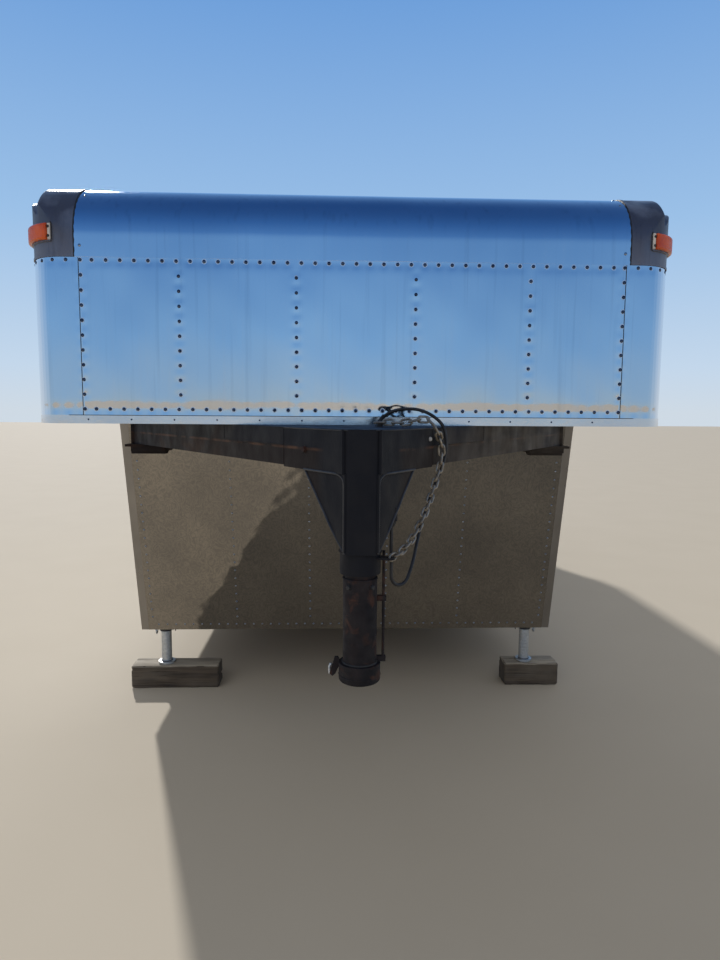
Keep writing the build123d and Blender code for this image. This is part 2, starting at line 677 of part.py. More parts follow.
def make_frame():
    """Two channel rails, the cross members in three groups and the deck on them."""
    rail_front = rake_y(RAIL_Z[0], BULKHEAD_THICK)
    with BuildPart() as rail:
        with BuildSketch(Plane.XZ.offset(-WALL_END_Y)) as profile:
            with Locations((RAIL_X, sum(RAIL_Z) / 2)):
                Rectangle(RAIL_WIDTH, RAIL_Z[1] - RAIL_Z[0])
            with Locations((RAIL_X - RAIL_WEB, sum(RAIL_Z) / 2)):
                Rectangle(RAIL_WIDTH, RAIL_Z[1] - RAIL_Z[0] - 2 * RAIL_WEB, mode=Mode.SUBTRACT)
        extrude(amount=WALL_END_Y - rail_front)
    for side in SIDES:
        write_piece(on_side(rail.part, side), f"frame_rail_{side}")

    well = CUTOUT_LENGTH / 2 + WHEEL_BOX_MARGIN + WHEEL_BOX_SHEET + CROSS_WIDTH
    group_y = NOSE_Y + AXLE_GROUP_Y
    groups = {"front": (JACK_Y, group_y - well, HALF - WALL),
              "middle": (group_y - well + CROSS_PITCH, group_y + well - CROSS_WIDTH, WHEEL_BOX_X - CROSS_WIDTH / 2),
              "rear": (group_y + well, WALL_END_Y - CROSS_WIDTH, HALF - WALL)}
    for name, (start, end, half) in groups.items():
        count = int((end - start) // CROSS_PITCH) + 1
        with BuildPart() as members:
            with BuildSketch(Plane.YZ):
                with Locations(*((start + i * CROSS_PITCH, RAIL_Z[1] + CROSS_HEIGHT / 2) for i in range(count))):
                    Rectangle(CROSS_WIDTH, CROSS_HEIGHT)
                with Locations(*((start + i * CROSS_PITCH + CROSS_WEB, RAIL_Z[1] + CROSS_HEIGHT / 2)
                                 for i in range(count))):
                    Rectangle(CROSS_WIDTH, CROSS_HEIGHT - 2 * CROSS_WEB, mode=Mode.SUBTRACT)
            extrude(amount=half, both=True)
        write_piece(members.part, f"cross_members_{name}")

    with BuildPart() as deck:
        with BuildSketch(Plane.YZ):
            with BuildLine():
                Polyline((rake_y(DECK_Z, BULKHEAD_THICK), DECK_Z), (WALL_END_Y, DECK_Z), (WALL_END_Y, DECK_TOP_Z),
                         (rake_y(DECK_TOP_Z, BULKHEAD_THICK), DECK_TOP_Z), close=True)
            make_face()
        extrude(amount=HALF - WALL, both=True)
        reach = CUTOUT_LENGTH / 2 + WHEEL_BOX_MARGIN + WHEEL_BOX_SHEET
        for sign in SIDES.values():
            span = sorted((sign * WHEEL_BOX_X, sign * HALF))
            box_between(span, (group_y - reach, group_y + reach), (SILL_Z, ROOF_Z), mode=Mode.SUBTRACT)
    write_piece(deck.part, "deck_floor")


def make_wheel_boxes():
    """Folded sheet boxes over the wheels, open below and at the cut-out."""
    group_y = NOSE_Y + AXLE_GROUP_Y
    reach = CUTOUT_LENGTH / 2 + WHEEL_BOX_MARGIN + WHEEL_BOX_SHEET
    inner = reach - WHEEL_BOX_SHEET
    with BuildPart() as box:
        box_between((WHEEL_BOX_X, HALF - WALL), (group_y - reach, group_y + reach), (DECK_Z, WHEEL_BOX_TOP_Z))
        box_between((WHEEL_BOX_X + WHEEL_BOX_SHEET, HALF), (group_y - inner, group_y + inner),
                    (SILL_Z, WHEEL_BOX_TOP_Z - WHEEL_BOX_SHEET), mode=Mode.SUBTRACT)
    for side in SIDES:
        write_piece(on_side(box.part, side), f"wheel_box_{side}")


def make_axles():
    """Torsion axles: cross tube, trailing arms, backing plates and spindles."""
    half = WHEEL_BOX_X + ARM_THICK / 2
    tube_z = RAIL_Z[0] - AXLE_TUBE / 2
    rise = AXLE_Z - tube_z
    trail = (ARM_LENGTH ** 2 - rise ** 2) ** 0.5
    for name, axle_y in AXLES.items():
        with BuildPart() as axle:
            with BuildSketch(Plane.YZ):
                with Locations((axle_y - trail, tube_z)):
                    RectangleRounded(AXLE_TUBE, AXLE_TUBE, AXLE_TUBE / 8)
            extrude(amount=half, both=True)
            for plane, sign in ((Plane.YZ.offset(half), 1), (Plane.YZ.offset(-half), -1)):
                with BuildSketch(plane):
                    with Locations((axle_y - trail, tube_z)):
                        Circle(ARM_EYE_R)
                    with Locations((axle_y, AXLE_Z)):
                        Circle(2 * SPINDLE_R)
                    make_hull()
                extrude(amount=sign * ARM_THICK)
                with BuildSketch(plane):
                    with Locations((axle_y, AXLE_Z)):
                        Circle(SPINDLE_R)
                extrude(amount=sign * (WHEEL_X - half + SPINDLE_OUT))
        write_piece(axle.part, f"torsion_axle_{name}")


def wheel_plane(axle_y):
    """Plane through the middle of a left wheel: X outward, Y up."""
    return Plane(origin=(WHEEL_X, axle_y, AXLE_Z), x_dir=(1, 0, 0), z_dir=(0, -1, 0))


def make_wheels():
    """Tyres and steel disc wheels with hub and drum."""
    for name, axle_y in AXLES.items():
        turn = Axis((WHEEL_X, axle_y, AXLE_Z), (1, 0, 0))
        with BuildPart() as tyre:
            with BuildSketch(wheel_plane(axle_y)):
                with BuildLine():
                    Polyline(*TYRE_HALF_PROFILE, *((-x, r) for x, r in reversed(TYRE_HALF_PROFILE)), close=True)
                make_face()
            revolve(axis=turn)
        with BuildPart() as wheel:
            with BuildSketch(wheel_plane(axle_y)):
                with BuildLine():
                    Polyline(*WHEEL_PROFILE, close=True)
                make_face()
            revolve(axis=turn)
            with BuildSketch(Plane.YZ.offset(WHEEL_X + DRUM_IN)):
                with Locations((axle_y, AXLE_Z)):
                    Circle(SPINDLE_R + SPINDLE_FIT)
            extrude(amount=SPINDLE_OUT + SPINDLE_END_GAP - DRUM_IN, mode=Mode.SUBTRACT)
            with BuildSketch(Plane.YZ.offset(WHEEL_X + DISC_OUT)):
                with Locations((axle_y, AXLE_Z)):
                    with PolarLocations(HAND_HOLE_PITCH_R, HAND_HOLES):
                        Circle(HAND_HOLE_R)
            extrude(amount=-HAND_HOLE_DEPTH, mode=Mode.SUBTRACT)
        for side in SIDES:
            write_piece(on_side(tyre.part, side), f"tyre_{name}_{side}")
            write_piece(on_side(wheel.part, side), f"wheel_{name}_{side}")


def rear_hinge_pin():
    """X and Y of the left rear door's hinge pins, outside the body and behind the door."""
    return HALF + HINGE_OUT, REAR_Y + DOOR_PROUD + KNUCKLE_R + HINGE_STRAP / 2


def rear_hinge_heights():
    """Heights of each rear door's hinges, spread over the door."""
    low, high = DECK_TOP_Z + DOOR_GAP, DOOR_TOP_Z - DOOR_GAP
    return [low + share * (high - low) for share in HINGE_SHARES]


def make_rear_frame():
    """Rear frame with its hinge lugs and licence bracket, and the bumper and lamps on it."""
    opening_x = HALF - REAR_POST
    pin_x, pin_y = rear_hinge_pin()
    root_x, root_y = HINGE_LUG_ROOT
    with BuildPart() as frame:
        with BuildSketch(Plane.XZ.offset(-REAR_Y)):
            add(stepped_outline(0, SILL_Z))
            with Locations((0, (DECK_TOP_Z + DOOR_TOP_Z) / 2)):
                Rectangle(2 * opening_x, DOOR_TOP_Z - DECK_TOP_Z, mode=Mode.SUBTRACT)
        extrude(amount=REAR_FRAME_DEPTH)
        for z in rear_hinge_heights():
            reach = KNUCKLE_HEIGHT / 2 + HINGE_LUG_GAP
            for low in (z - reach - HINGE_LUG, z + reach):
                with BuildSketch(Plane.XY.offset(low)):
                    for sign in SIDES.values():
                        with BuildLine():
                            Polyline((sign * (HALF - root_x), REAR_Y - root_y), (sign * HALF, REAR_Y - root_y),
                                     (sign * (pin_x + KNUCKLE_R), pin_y), (sign * (pin_x - KNUCKLE_R), pin_y),
                                     (sign * (HALF - root_x), REAR_Y), close=True)
                        make_face()
                        with Locations((sign * pin_x, pin_y)):
                            Circle(KNUCKLE_R)
                extrude(amount=HINGE_LUG)
            with BuildSketch(Plane.XY.offset(z - reach - HINGE_LUG)):
                with Locations((-pin_x, pin_y), (pin_x, pin_y)):
                    Circle(HINGE_PIN_R)
            extrude(amount=2 * (reach + HINGE_LUG))
        with Locations(Plane.XZ.offset(-REAR_Y)):
            with Locations((PLATE_X - PLATE_HOLES / 2, PLATE_Z), (PLATE_X + PLATE_HOLES / 2, PLATE_Z)):
                Cylinder(PLATE_HOLE_R, 2 * PLATE_HOLE_DEPTH, mode=Mode.SUBTRACT)
    write_piece(frame.part, "rear_frame")
    with BuildPart() as bumper:
        half = HALF - BUMPER_IN
        box_between((-half, half), (REAR_Y, REAR_Y + BUMPER_OUT), BUMPER_Z)
        fillet(bumper.edges().filter_by(Axis.Z).sort_by(Axis.Y)[-2:], BUMPER_EDGE)
    write_piece(bumper.part, "rear_bumper")
    with BuildPart() as lamp:
        with BuildSketch(Plane.XZ.offset(-REAR_Y)):
            with Locations((HALF - REAR_LAMP_IN, REAR_LAMP_Z)):
                SlotOverall(*REAR_LAMP)
        extrude(amount=-REAR_LAMP_OUT)
    for side in SIDES:
        write_piece(on_side(lamp.part, side), f"rear_lamp_{side}")


def make_rear_doors():
    """Two swing doors with hinge straps and lock rods."""
    pin_x, pin_y = rear_hinge_pin()
    face_y = REAR_Y + DOOR_PROUD
    door_x = (DOOR_MEETING_GAP / 2, HALF - REAR_POST - DOOR_GAP)
    door_z = (DECK_TOP_Z + DOOR_GAP, DOOR_TOP_Z - DOOR_GAP)
    rod_x = HALF - LOCK_ROD_INSET
    rod_y = face_y + 2 * LOCK_ROD_R
    with BuildPart() as door:
        box_between(door_x, (face_y - DOOR, face_y), door_z)
        for z in rear_hinge_heights():
            low = z - KNUCKLE_HEIGHT / 2
            box_between((door_x[1] - STRAP_LENGTH, pin_x), (face_y, face_y + HINGE_STRAP), (low, low + KNUCKLE_HEIGHT))
            with BuildSketch(Plane.XY.offset(low)):
                with Locations((pin_x, pin_y)):
                    Circle(KNUCKLE_R)
                with Locations((pin_x - KNUCKLE_R / 2, face_y + KNUCKLE_R / 2)):
                    Rectangle(KNUCKLE_R, KNUCKLE_R)
            extrude(amount=KNUCKLE_HEIGHT)
            with BuildSketch(Plane.XY.offset(low)):
                with Locations((pin_x, pin_y)):
                    Circle(HINGE_PIN_R + HINGE_FIT)
            extrude(amount=KNUCKLE_HEIGHT, mode=Mode.SUBTRACT)
        with BuildSketch(Plane.XY.offset(door_z[0])):
            with Locations((rod_x, rod_y)):
                Circle(LOCK_ROD_R)
        extrude(amount=door_z[1] - door_z[0])
        middle_z = sum(door_z) / 2
        brackets = (door_z[0] + ROD_BRACKET_ENDS, *(middle_z + z for z in ROD_BRACKET_MIDDLE),
                    door_z[1] - ROD_BRACKET_ENDS)
        for z in brackets:
            box_between((rod_x - ROD_BRACKET[0], rod_x + ROD_BRACKET[0]),
                        (face_y, rod_y + LOCK_ROD_R + ROD_BRACKET_COVER), (z - ROD_BRACKET[1], z + ROD_BRACKET[1]))
        length, thick, half = LOCK_HANDLE
        box_between((rod_x - length, rod_x), (rod_y, rod_y + thick), (LOCK_HANDLE_Z - half, LOCK_HANDLE_Z + half))
    for side in SIDES:
        write_piece(on_side(door.part, side), f"rear_door_{side}")


def make_side_door():
    """Side door on the right with three hinges and a paddle handle."""
    pin_x, pin_y = side_hinge_pin()
    door_y = NOSE_Y + SIDE_DOOR_Y
    strap_y = door_y + SIDE_KNUCKLE_GAP
    half_height = SIDE_KNUCKLE / 2
    with BuildPart() as door:
        with BuildSketch(Plane.YZ.offset(HALF - WALL)):
            door_outline(0)
        extrude(amount=WALL)
        for z in side_hinge_heights():
            span = (z - half_height, z + half_height)
            box_between((HALF, pin_x + SIDE_KNUCKLE_R), (strap_y, strap_y + SIDE_STRAP), span)
            box_between((pin_x + SIDE_KNUCKLE_R - SIDE_STRAP, pin_x + SIDE_KNUCKLE_R), (pin_y, strap_y + SIDE_STRAP),
                        span)
            box_between((HALF, HALF + SIDE_STRAP), (strap_y, strap_y + SIDE_STRAP_LENGTH), span)
            with Locations((pin_x, pin_y, z)):
                Cylinder(SIDE_KNUCKLE_R, SIDE_KNUCKLE)
                Cylinder(SIDE_PIN_R + HINGE_FIT, SIDE_KNUCKLE, mode=Mode.SUBTRACT)
        handle_out, handle_width, handle_height = HANDLE
        handle_y = door_y + SIDE_DOOR_WIDTH - HANDLE_INSET
        box_between((HALF, HALF + handle_out), (handle_y - handle_width, handle_y),
                    (HANDLE_Z - handle_height / 2, HANDLE_Z + handle_height / 2))
    write_piece(on_side(door.part, "right"), "side_door")


def make_jacks():
    """Pin jacks under the front corners, each standing on a timber block."""
    half = JACK_PLATE / 2
    loop = Plane(origin=(JACK_X + JACK_PIN_HALF, JACK_Y, JACK_PIN_Z - JACK_LOOP_R), x_dir=(0, 1, 0), z_dir=(1, 0, 0))
    with BuildPart() as jack:
        box_between((JACK_X - half, JACK_X + half), (JACK_Y - half, JACK_Y + half), (SILL_Z - JACK_PLATE_THICK, SILL_Z))
        with BuildSketch(Plane.XY.offset(JACK_SLEEVE_Z)):
            with Locations((JACK_X, JACK_Y)):
                Circle(JACK_SLEEVE_R)
        extrude(amount=RAIL_Z[1] - JACK_SLEEVE_Z)
        with BuildSketch(Plane.XY.offset(BLOCK)):
            with Locations((JACK_X, JACK_Y)):
                Circle(JACK_LEG_R)
        extrude(amount=JACK_SLEEVE_Z - BLOCK)
        with BuildSketch(Plane.XY.offset(BLOCK)):
            with Locations((JACK_X, JACK_Y)):
                Circle(JACK_FOOT_R)
        extrude(amount=JACK_FOOT)
        with BuildSketch(Plane.YZ.offset(JACK_X - JACK_PIN_HALF)):
            with Locations((JACK_Y, JACK_PIN_Z)):
                Circle(JACK_PIN_R)
        extrude(amount=2 * JACK_PIN_HALF)
        with BuildSketch(loop):
            Circle(JACK_LOOP_R + JACK_PIN_R / 2)
            Circle(JACK_LOOP_R - JACK_PIN_R / 2, mode=Mode.SUBTRACT)
        extrude(amount=-JACK_PIN_R)
    for side in SIDES:
        write_piece(on_side(jack.part, side), f"jack_{side}")
        with BuildPart() as block:
            box_between((HALF - BLOCK_IN[side], HALF + BLOCK_OUT), (JACK_Y - BLOCK / 2, JACK_Y + BLOCK / 2), (0, BLOCK))
            fillet(block.edges().filter_by(Axis.X), BLOCK_EDGE)
        write_piece(on_side(block.part, side), f"timber_block_{side}")


def chain_link(place):
    """One plain link in its own plane."""
    with BuildPart() as link:
        with BuildSketch(place) as outline:
            Rectangle(LINK_HOLE + 2 * LINK_WIRE, LINK_WIDTH)
            chamfer(outline.vertices(), LINK_CORNER)
            Rectangle(LINK_HOLE, LINK_WIDTH - 2 * LINK_WIRE, mode=Mode.SUBTRACT)
        extrude(amount=LINK_WIRE / 2, both=True)
    return link.part


def make_chain():
    """Safety chain from the neck top over the beam edge to the eye on the collar."""
    # x, y behind the nose face, z
    route = ((60, -300, 1635), (105, -313, 1636), (160, -328, 1637), (232, -349, 1641), (250, -356, 1619),
             (269, -330, 1583), (279, -311, 1545), (276, -315, 1500), (264, -326, 1460), (247, -347, 1417),
             (226, -384, 1369), (198, -427, 1320), (166, -472, 1277), (134, -515, 1250), (108, -550, 1239),
             CHAIN_END)
    with BuildLine() as run:
        Spline(*((beside_beam(x, y), NOSE_Y + y, z) for x, y, z in route))
    path = run.wire()
    pitch = LINK_HOLE - LINK_SLACK
    count = int(path.length // pitch)
    links = []
    for i in range(count):
        along = path.length - LINK_HOLE / 2 - LINK_WIRE / 2 - i * pitch
        at = path.position_at(along, position_mode=PositionMode.LENGTH)
        heading = path.tangent_at(along, position_mode=PositionMode.LENGTH)
        flat = Plane(origin=at, x_dir=heading, z_dir=heading.cross(Vector(0, 0, 1)))
        turned = Plane(origin=at, x_dir=heading, z_dir=flat.y_dir)
        links.append(chain_link(flat if i % 2 == 0 else turned))
    write_piece(Part(children=links), "safety_chain")


def make_cable():
    """Wiring cable from its gland on the neck top down to the plug parked beside the post."""
    # x, y behind the nose face, z
    route = ((80, -214, NOSE_Z + GLAND_HEIGHT), (92, -220, 1664), (121, -231, 1688), (162, -245, 1697),
             (206, -257, 1692), (249, -268, 1670), (289, -275, 1634), (300, -274, 1589), (301, -274, 1543),
             (292, -277, 1497), (273, -284, 1450), (251, -302, 1402), (229, -331, 1352), (207, -368, 1301),
             (189, -406, 1250), (178, -435, 1213), (168, -456, 1186), (157, -475, 1162), (149, -481, 1144),
             (135, -492, 1133.5), (118, -505, 1133.5), (104, -516, 1144), (96, -522, 1162), (97, -522, 1197),
             (95, -521, 1238), PLUG_AT[:2] + (PLUG_AT[2] - 40,), PLUG_AT)
    points = [Vector(beside_beam(x, y), NOSE_Y + y, z) for x, y, z in route]
    runs = [b - a for a, b in zip(points, points[1:])]
    radii = []
    for before, after in zip(runs, runs[1:]):
        turn = before.get_angle(after)
        radii.append(CABLE_ROUNDING * min(before.length, after.length) / tan(radians(turn / 2)))
    print("cable radii", [round(r) for r in radii])
    print("cable turns", [round(a.get_angle(b)) for a, b in zip(runs, runs[1:])])
    with BuildPart() as cable:
        with BuildLine() as run:
            FilletPolyline(*points, radius=radii)
        path = run.wire()
        with BuildSketch(Plane(origin=path @ 0, z_dir=path % 0)):
            Circle(CABLE_R)
        sweep(path=path)
    print("cable volume ratio", cable.part.volume / (path.length * pi * CABLE_R ** 2))
    write_piece(cable.part, "wiring_cable")
    with BuildPart() as gland:
        with BuildSketch(Plane(origin=points[0], z_dir=runs[0])):
            RegularPolygon(GLAND_R, 6)
        extrude(amount=-2 * GLAND_HEIGHT)
        split(bisect_by=Plane.XY.offset(NOSE_Z), keep=Keep.TOP)
    write_piece(gland.part, "cable_gland")
    with BuildPart() as plug:
        with BuildSketch(Plane.XY.offset(PLUG_AT[2])):
            with Locations((beside_beam(*PLUG_AT[:2]), NOSE_Y + PLUG_AT[1])):
                Circle(PLUG_R)
        extrude(amount=PLUG_LENGTH)
    write_piece(plug.part, "cable_plug")


make_nose()
make_nose_floor()
make_bulkhead()
make_side_walls()
make_roof()
make_neck_beams()
make_neck_head()
make_coupler()
make_frame()
make_wheel_boxes()
make_axles()
make_wheels()
make_rear_frame()
make_rear_doors()
make_side_door()
make_jacks()
make_chain()
make_cable()
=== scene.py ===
import logging
import math
from dataclasses import dataclass
from enum import Enum
from typing import Callable, Iterable, Sequence

import bmesh
import bpy
import numpy as np
from mathutils import Matrix, Vector, noise


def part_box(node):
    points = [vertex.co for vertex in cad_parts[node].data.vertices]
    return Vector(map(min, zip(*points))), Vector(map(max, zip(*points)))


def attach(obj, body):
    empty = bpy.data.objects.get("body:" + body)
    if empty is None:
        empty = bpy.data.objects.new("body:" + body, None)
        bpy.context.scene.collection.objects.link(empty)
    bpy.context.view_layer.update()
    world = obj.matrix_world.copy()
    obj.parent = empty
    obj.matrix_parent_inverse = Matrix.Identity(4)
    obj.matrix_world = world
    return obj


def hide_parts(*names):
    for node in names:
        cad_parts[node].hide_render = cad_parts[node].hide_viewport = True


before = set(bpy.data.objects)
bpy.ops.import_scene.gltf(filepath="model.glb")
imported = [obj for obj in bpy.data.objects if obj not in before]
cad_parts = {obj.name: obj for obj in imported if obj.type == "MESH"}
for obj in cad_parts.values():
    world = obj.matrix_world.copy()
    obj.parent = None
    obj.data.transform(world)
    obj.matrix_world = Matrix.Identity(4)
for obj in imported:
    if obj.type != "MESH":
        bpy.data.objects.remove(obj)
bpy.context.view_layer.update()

LOG = logging.getLogger("trailer")

# Shared types

Colour = tuple[float, float, float]
Point = tuple[float, float, float]
Pair = tuple[float, float]
Profile = Sequence[Pair]
Run = tuple[Sequence[Vector], float, bool]
BMesh = bmesh.types.BMesh
Mesh = bpy.types.Mesh
Socket = bpy.types.NodeSocket
Piece = bpy.types.Object
Grid = np.ndarray
Build = Callable[[BMesh], None]

# Shared sizes and directions, in metres

NOSE_Y = -3.370
REAR_Y = 3.945
HALF = 1.219
RIVET_PITCH = 0.0508
WALL_PITCH = 0.1016
POST_Y = -3.920
CORNER = (1.067, -3.218)
CORNER_R = 0.152
ROLL = (-3.167, 2.305)
ROLL_R = 0.203
AHEAD = Vector((0.0, -1.0, 0.0))
BACK = Vector((0.0, 1.0, 0.0))
UP = Vector((0.0, 0.0, 1.0))
DOWN = Vector((0.0, 0.0, -1.0))
ALONG_X = Matrix(((0, 0, 1, 0), (1, 0, 0, 0), (0, 1, 0, 0), (0, 0, 0, 1)))


class Side(Enum):
    """The two sides of the trailer, each with the sign of its X."""

    LEFT = 1
    RIGHT = -1

    @property
    def word(self) -> str:
        """The side's word in node names."""
        return self.name.lower()


@dataclass
class Sided:
    """A sub-assembly that is made once for each side."""

    side: Side

    @property
    def word(self) -> str:
        """Its side's word in node names."""
        return self.side.word

    @property
    def sign(self) -> int:
        """The sign of its X."""
        return self.side.value


# Node trees of the finishes


class Graph:
    """Short ways to set up the nodes of one material or world."""

    def __init__(self, tree: bpy.types.NodeTree) -> None:
        """Empty the tree and keep it.

        Args:
            tree: the node tree to fill.
        """
        self.tree = tree
        tree.nodes.clear()

    def node(self, kind: str, inputs: dict[str, object] | None = None, **settings: object) -> bpy.types.Node:
        """Add a node, set its properties, and set or link its named inputs.

        Args:
            kind: Blender's type name of the node.
            inputs: values or output sockets by input name.
            settings: properties of the node.

        Returns:
            The new node.
        """
        made = self.tree.nodes.new(kind)
        for name, value in settings.items():
            setattr(made, name, value)
        for name, value in (inputs or {}).items():
            self.put(made.inputs[name], value)
        return made

    def put(self, socket: Socket, value: object) -> None:
        """Link an output to a socket, or set its value."""
        if isinstance(value, Socket):
            self.tree.links.new(value, socket)
        else:
            socket.default_value = value

    def place(self, stretch: Point = (1.0, 1.0, 1.0)) -> Socket:
        """Object coordinates, stretched along the axes."""
        where = self.node("ShaderNodeTexCoord").outputs["Object"]
        return self.node("ShaderNodeMapping", {"Vector": where, "Scale": stretch}).outputs["Vector"]

    def noise(self, scale: float, stretch: Point = (1.0, 1.0, 1.0), detail: float = 4.0,
              distortion: float = 0.0) -> Socket:
        """Grey noise over the object."""
        inputs = {"Vector": self.place(stretch), "Scale": scale, "Detail": detail, "Distortion": distortion}
        return self.node("ShaderNodeTexNoise", inputs).outputs[0]

    def span(self, value: Socket, low: float, high: float, new_low: float = 0.0,
             new_high: float = 1.0) -> Socket:
        """Map a value from one range to another, clamped."""
        inputs = {"Value": value, "From Min": low, "From Max": high, "To Min": new_low, "To Max": new_high}
        return self.node("ShaderNodeMapRange", inputs).outputs["Result"]

    def mix(self, share: object, first: object, second: object, how: str = "MIX") -> Socket:
        """Mix two colours by a share."""
        made = self.node("ShaderNodeMix", data_type="RGBA", blend_type=how)
        self.put(made.inputs[0], share)
        for socket, value in ((made.inputs[6], first), (made.inputs[7], second)):
            self.put(socket, value if isinstance(value, Socket) else (*value, 1.0))
        return made.outputs[2]

    def combine(self, how: str, first: object, second: object) -> Socket:
        """Math on two values."""
        made = self.node("ShaderNodeMath", operation=how)
        self.put(made.inputs[0], first)
        self.put(made.inputs[1], second)
        return made.outputs[0]

    def times(self, *factors: object) -> Socket:
        """Product of two or more values."""
        product = factors[0]
        for factor in factors[1:]:
            product = self.combine("MULTIPLY", product, factor)
        return product

    def blotch(self, under: object, over: object, noise: Sequence[object], *reach: float) -> Socket:
        """Lay a colour over another in blotches of noise."""
        return self.mix(self.span(self.noise(*noise), *reach), under, over)

    def axis(self, letter: str) -> Socket:
        """One axis of the object coordinates."""
        return self.node("ShaderNodeSeparateXYZ", {"Vector": self.place()}).outputs[letter]

    def lead_out(self, kind: str, surface: Socket) -> None:
        """Lead a surface to the output of its material or world."""
        self.put(self.node(f"ShaderNodeOutput{kind}").inputs["Surface"], surface)

    def facing_up(self) -> Socket:
        """How far the surface faces up."""
        normal = self.node("ShaderNodeNewGeometry").outputs["Normal"]
        return self.node("ShaderNodeSeparateXYZ", {"Vector": normal}).outputs["Z"]

    def relief(self, height: object, depth: float, below: object = None) -> Socket:
        """A bump of a depth in metres, on top of another one."""
        made = self.node("ShaderNodeBump", {"Height": height, "Distance": depth, "Strength": 1.0})
        if below is not None:
            self.put(made.inputs["Normal"], below)
        return made.outputs["Normal"]


@dataclass(frozen=True)
class Finish:
    """A finish with two tones, dust on what faces up, varied gloss and fine relief."""

    name: str
    tone: Colour
    second: Colour
    metallic: float = 0.0
    gloss: Pair = (0.4, 0.6)
    scale: float = 6.0
    stretch: Point = (1.0, 1.0, 1.0)
    contrast: Pair = (0.35, 0.65)
    depth: float = 0.0
    fine: float = 120.0
    dust: Colour | None = None
    dust_share: float = 0.5
    coat: float = 0.0
    shine: float = 0.5

    @property
    def title(self) -> str:
        """Name of the material, apart from those of the solids."""
        return f"{self.name}_finish"

    def colour(self, graph: Graph) -> Socket:
        """Colour of the finish before its dust."""
        return graph.blotch(self.tone, self.second, (self.scale, self.stretch, 6.0), *self.contrast)

    def height(self, graph: Graph) -> Socket:
        """Height of the fine relief."""
        return graph.noise(self.fine, self.stretch, 3.0)

    def extra(self, graph: Graph, shader: bpy.types.Node) -> None:
        """Further settings of a special finish."""

    def build(self) -> bpy.types.Material:
        """Make the material.

        Returns:
            The procedural material.
        """
        material = bpy.data.materials.new(self.title)
        material.use_nodes = True
        graph = Graph(material.node_tree)
        shader = graph.node("ShaderNodeBsdfPrincipled", {"Metallic": self.metallic, "Coat Weight": self.coat,
                                                        "Specular IOR Level": self.shine})
        colour = self.colour(graph)
        if self.dust is not None:
            patch = graph.span(graph.noise(9.0, detail=5.0), 0.42, 0.7, 0.15, 1.0)
            up = graph.span(graph.facing_up(), 0.1, 0.9, 0.12, 1.0)
            colour = graph.mix(graph.times(patch, up, self.dust_share), colour, self.dust)
        graph.put(shader.inputs["Base Color"], colour)
        wear = graph.noise(self.scale * 2.3, self.stretch, 5.0)
        graph.put(shader.inputs["Roughness"], graph.span(wear, 0.3, 0.7, *self.gloss))
        if self.depth > 0:
            graph.put(shader.inputs["Normal"], graph.relief(self.height(graph), self.depth))
        self.extra(graph, shader)
        graph.lead_out("Material", shader.outputs["BSDF"])
        return material


@dataclass(frozen=True)
class PolishedSheet(Finish):
    """Mirror-polished stainless sheet with drawn streaks down it, dull vertical streaks that are partly run
    stains and partly painted reflection, and a slight waviness.
    """

    def colour(self, graph: Graph) -> Socket:
        """Two silver tones, and faint dull vertical streaks, partly run stains and partly a painted
        reflection of dark surroundings stretched down the curved sheet.
        """
        clean = graph.blotch(self.tone, self.second, (1.6, (1.0, 1.0, 0.45), 3.0), 0.35, 0.7)
        # Dull vertical streaks: partly run stains, partly a painted reflection of dark surroundings.
        return graph.blotch(clean, (0.46, 0.49, 0.53), (1.0, (38.0, 38.0, 1.3), 5.0), 0.56, 0.78, 0.0, 0.35)

    def extra(self, graph: Graph, shader: bpy.types.Node) -> None:
        """Streaks in the gloss, and soft waves under fine scratches."""
        streak = graph.noise(1.0, (60.0, 60.0, 1.5), 6.0)
        graph.put(shader.inputs["Roughness"], graph.span(streak, 0.35, 0.75, *self.gloss))
        waves = graph.relief(graph.noise(3.2, (1.0, 1.0, 0.6), 1.0, 0.4), 0.004)
        graph.put(shader.inputs["Normal"], graph.relief(streak, 0.00012, waves))


@dataclass(frozen=True)
class SwirledSheet(Finish):
    """Mirror-polished sheet with the whorls of its hand polishing, in tones darkened and warmed as painted
    shade and a painted reflection of sunlit ground.
    """

    def colour(self, graph: Graph) -> Socket:
        """Two tones in whorls under a broad haze: the warm tone is a painted reflection of sunlit ground, the
        dark one painted shade.
        """
        haze = graph.blotch(self.tone, self.second, (2.2,), 0.35, 0.72, 0.0, 0.5)
        whorl = graph.span(self.whorls(graph), 0.38, 0.62, 0.0, 0.42)
        return graph.mix(whorl, haze, self.second)

    def whorls(self, graph: Graph) -> Socket:
        """Rings pulled about, as a polishing wheel leaves them."""
        return graph.noise(17.0, (1.0, 1.0, 0.8), 2.0, 7.0)

    def extra(self, graph: Graph, shader: bpy.types.Node) -> None:
        """Gloss that varies with the whorls, and their faint relief."""
        graph.put(shader.inputs["Roughness"], graph.span(self.whorls(graph), 0.3, 0.7, *self.gloss))
        graph.put(shader.inputs["Normal"], graph.relief(self.whorls(graph), 0.00006))


@dataclass(frozen=True)
class RustySteel(Finish):
    """Bare tube with scale, pits and patches of old rust."""

    def colour(self, graph: Graph) -> Socket:
        """Brown scale with orange rust and nearly black patches."""
        base = graph.blotch(self.tone, self.second, (14.0, (1.0, 1.0, 0.35), 6.0), 0.35, 0.62)
        blotches = (22.0, (1.0, 1.0, 1.0), 7.0, 0.6)
        base = graph.blotch(base, (0.075, 0.034, 0.024), blotches, 0.54, 0.66, 0.0, 0.75)
        return graph.blotch(base, (0.007, 0.007, 0.008), (8.0, (1.0, 1.0, 0.5), 5.0), 0.56, 0.7, 0.0, 0.7)


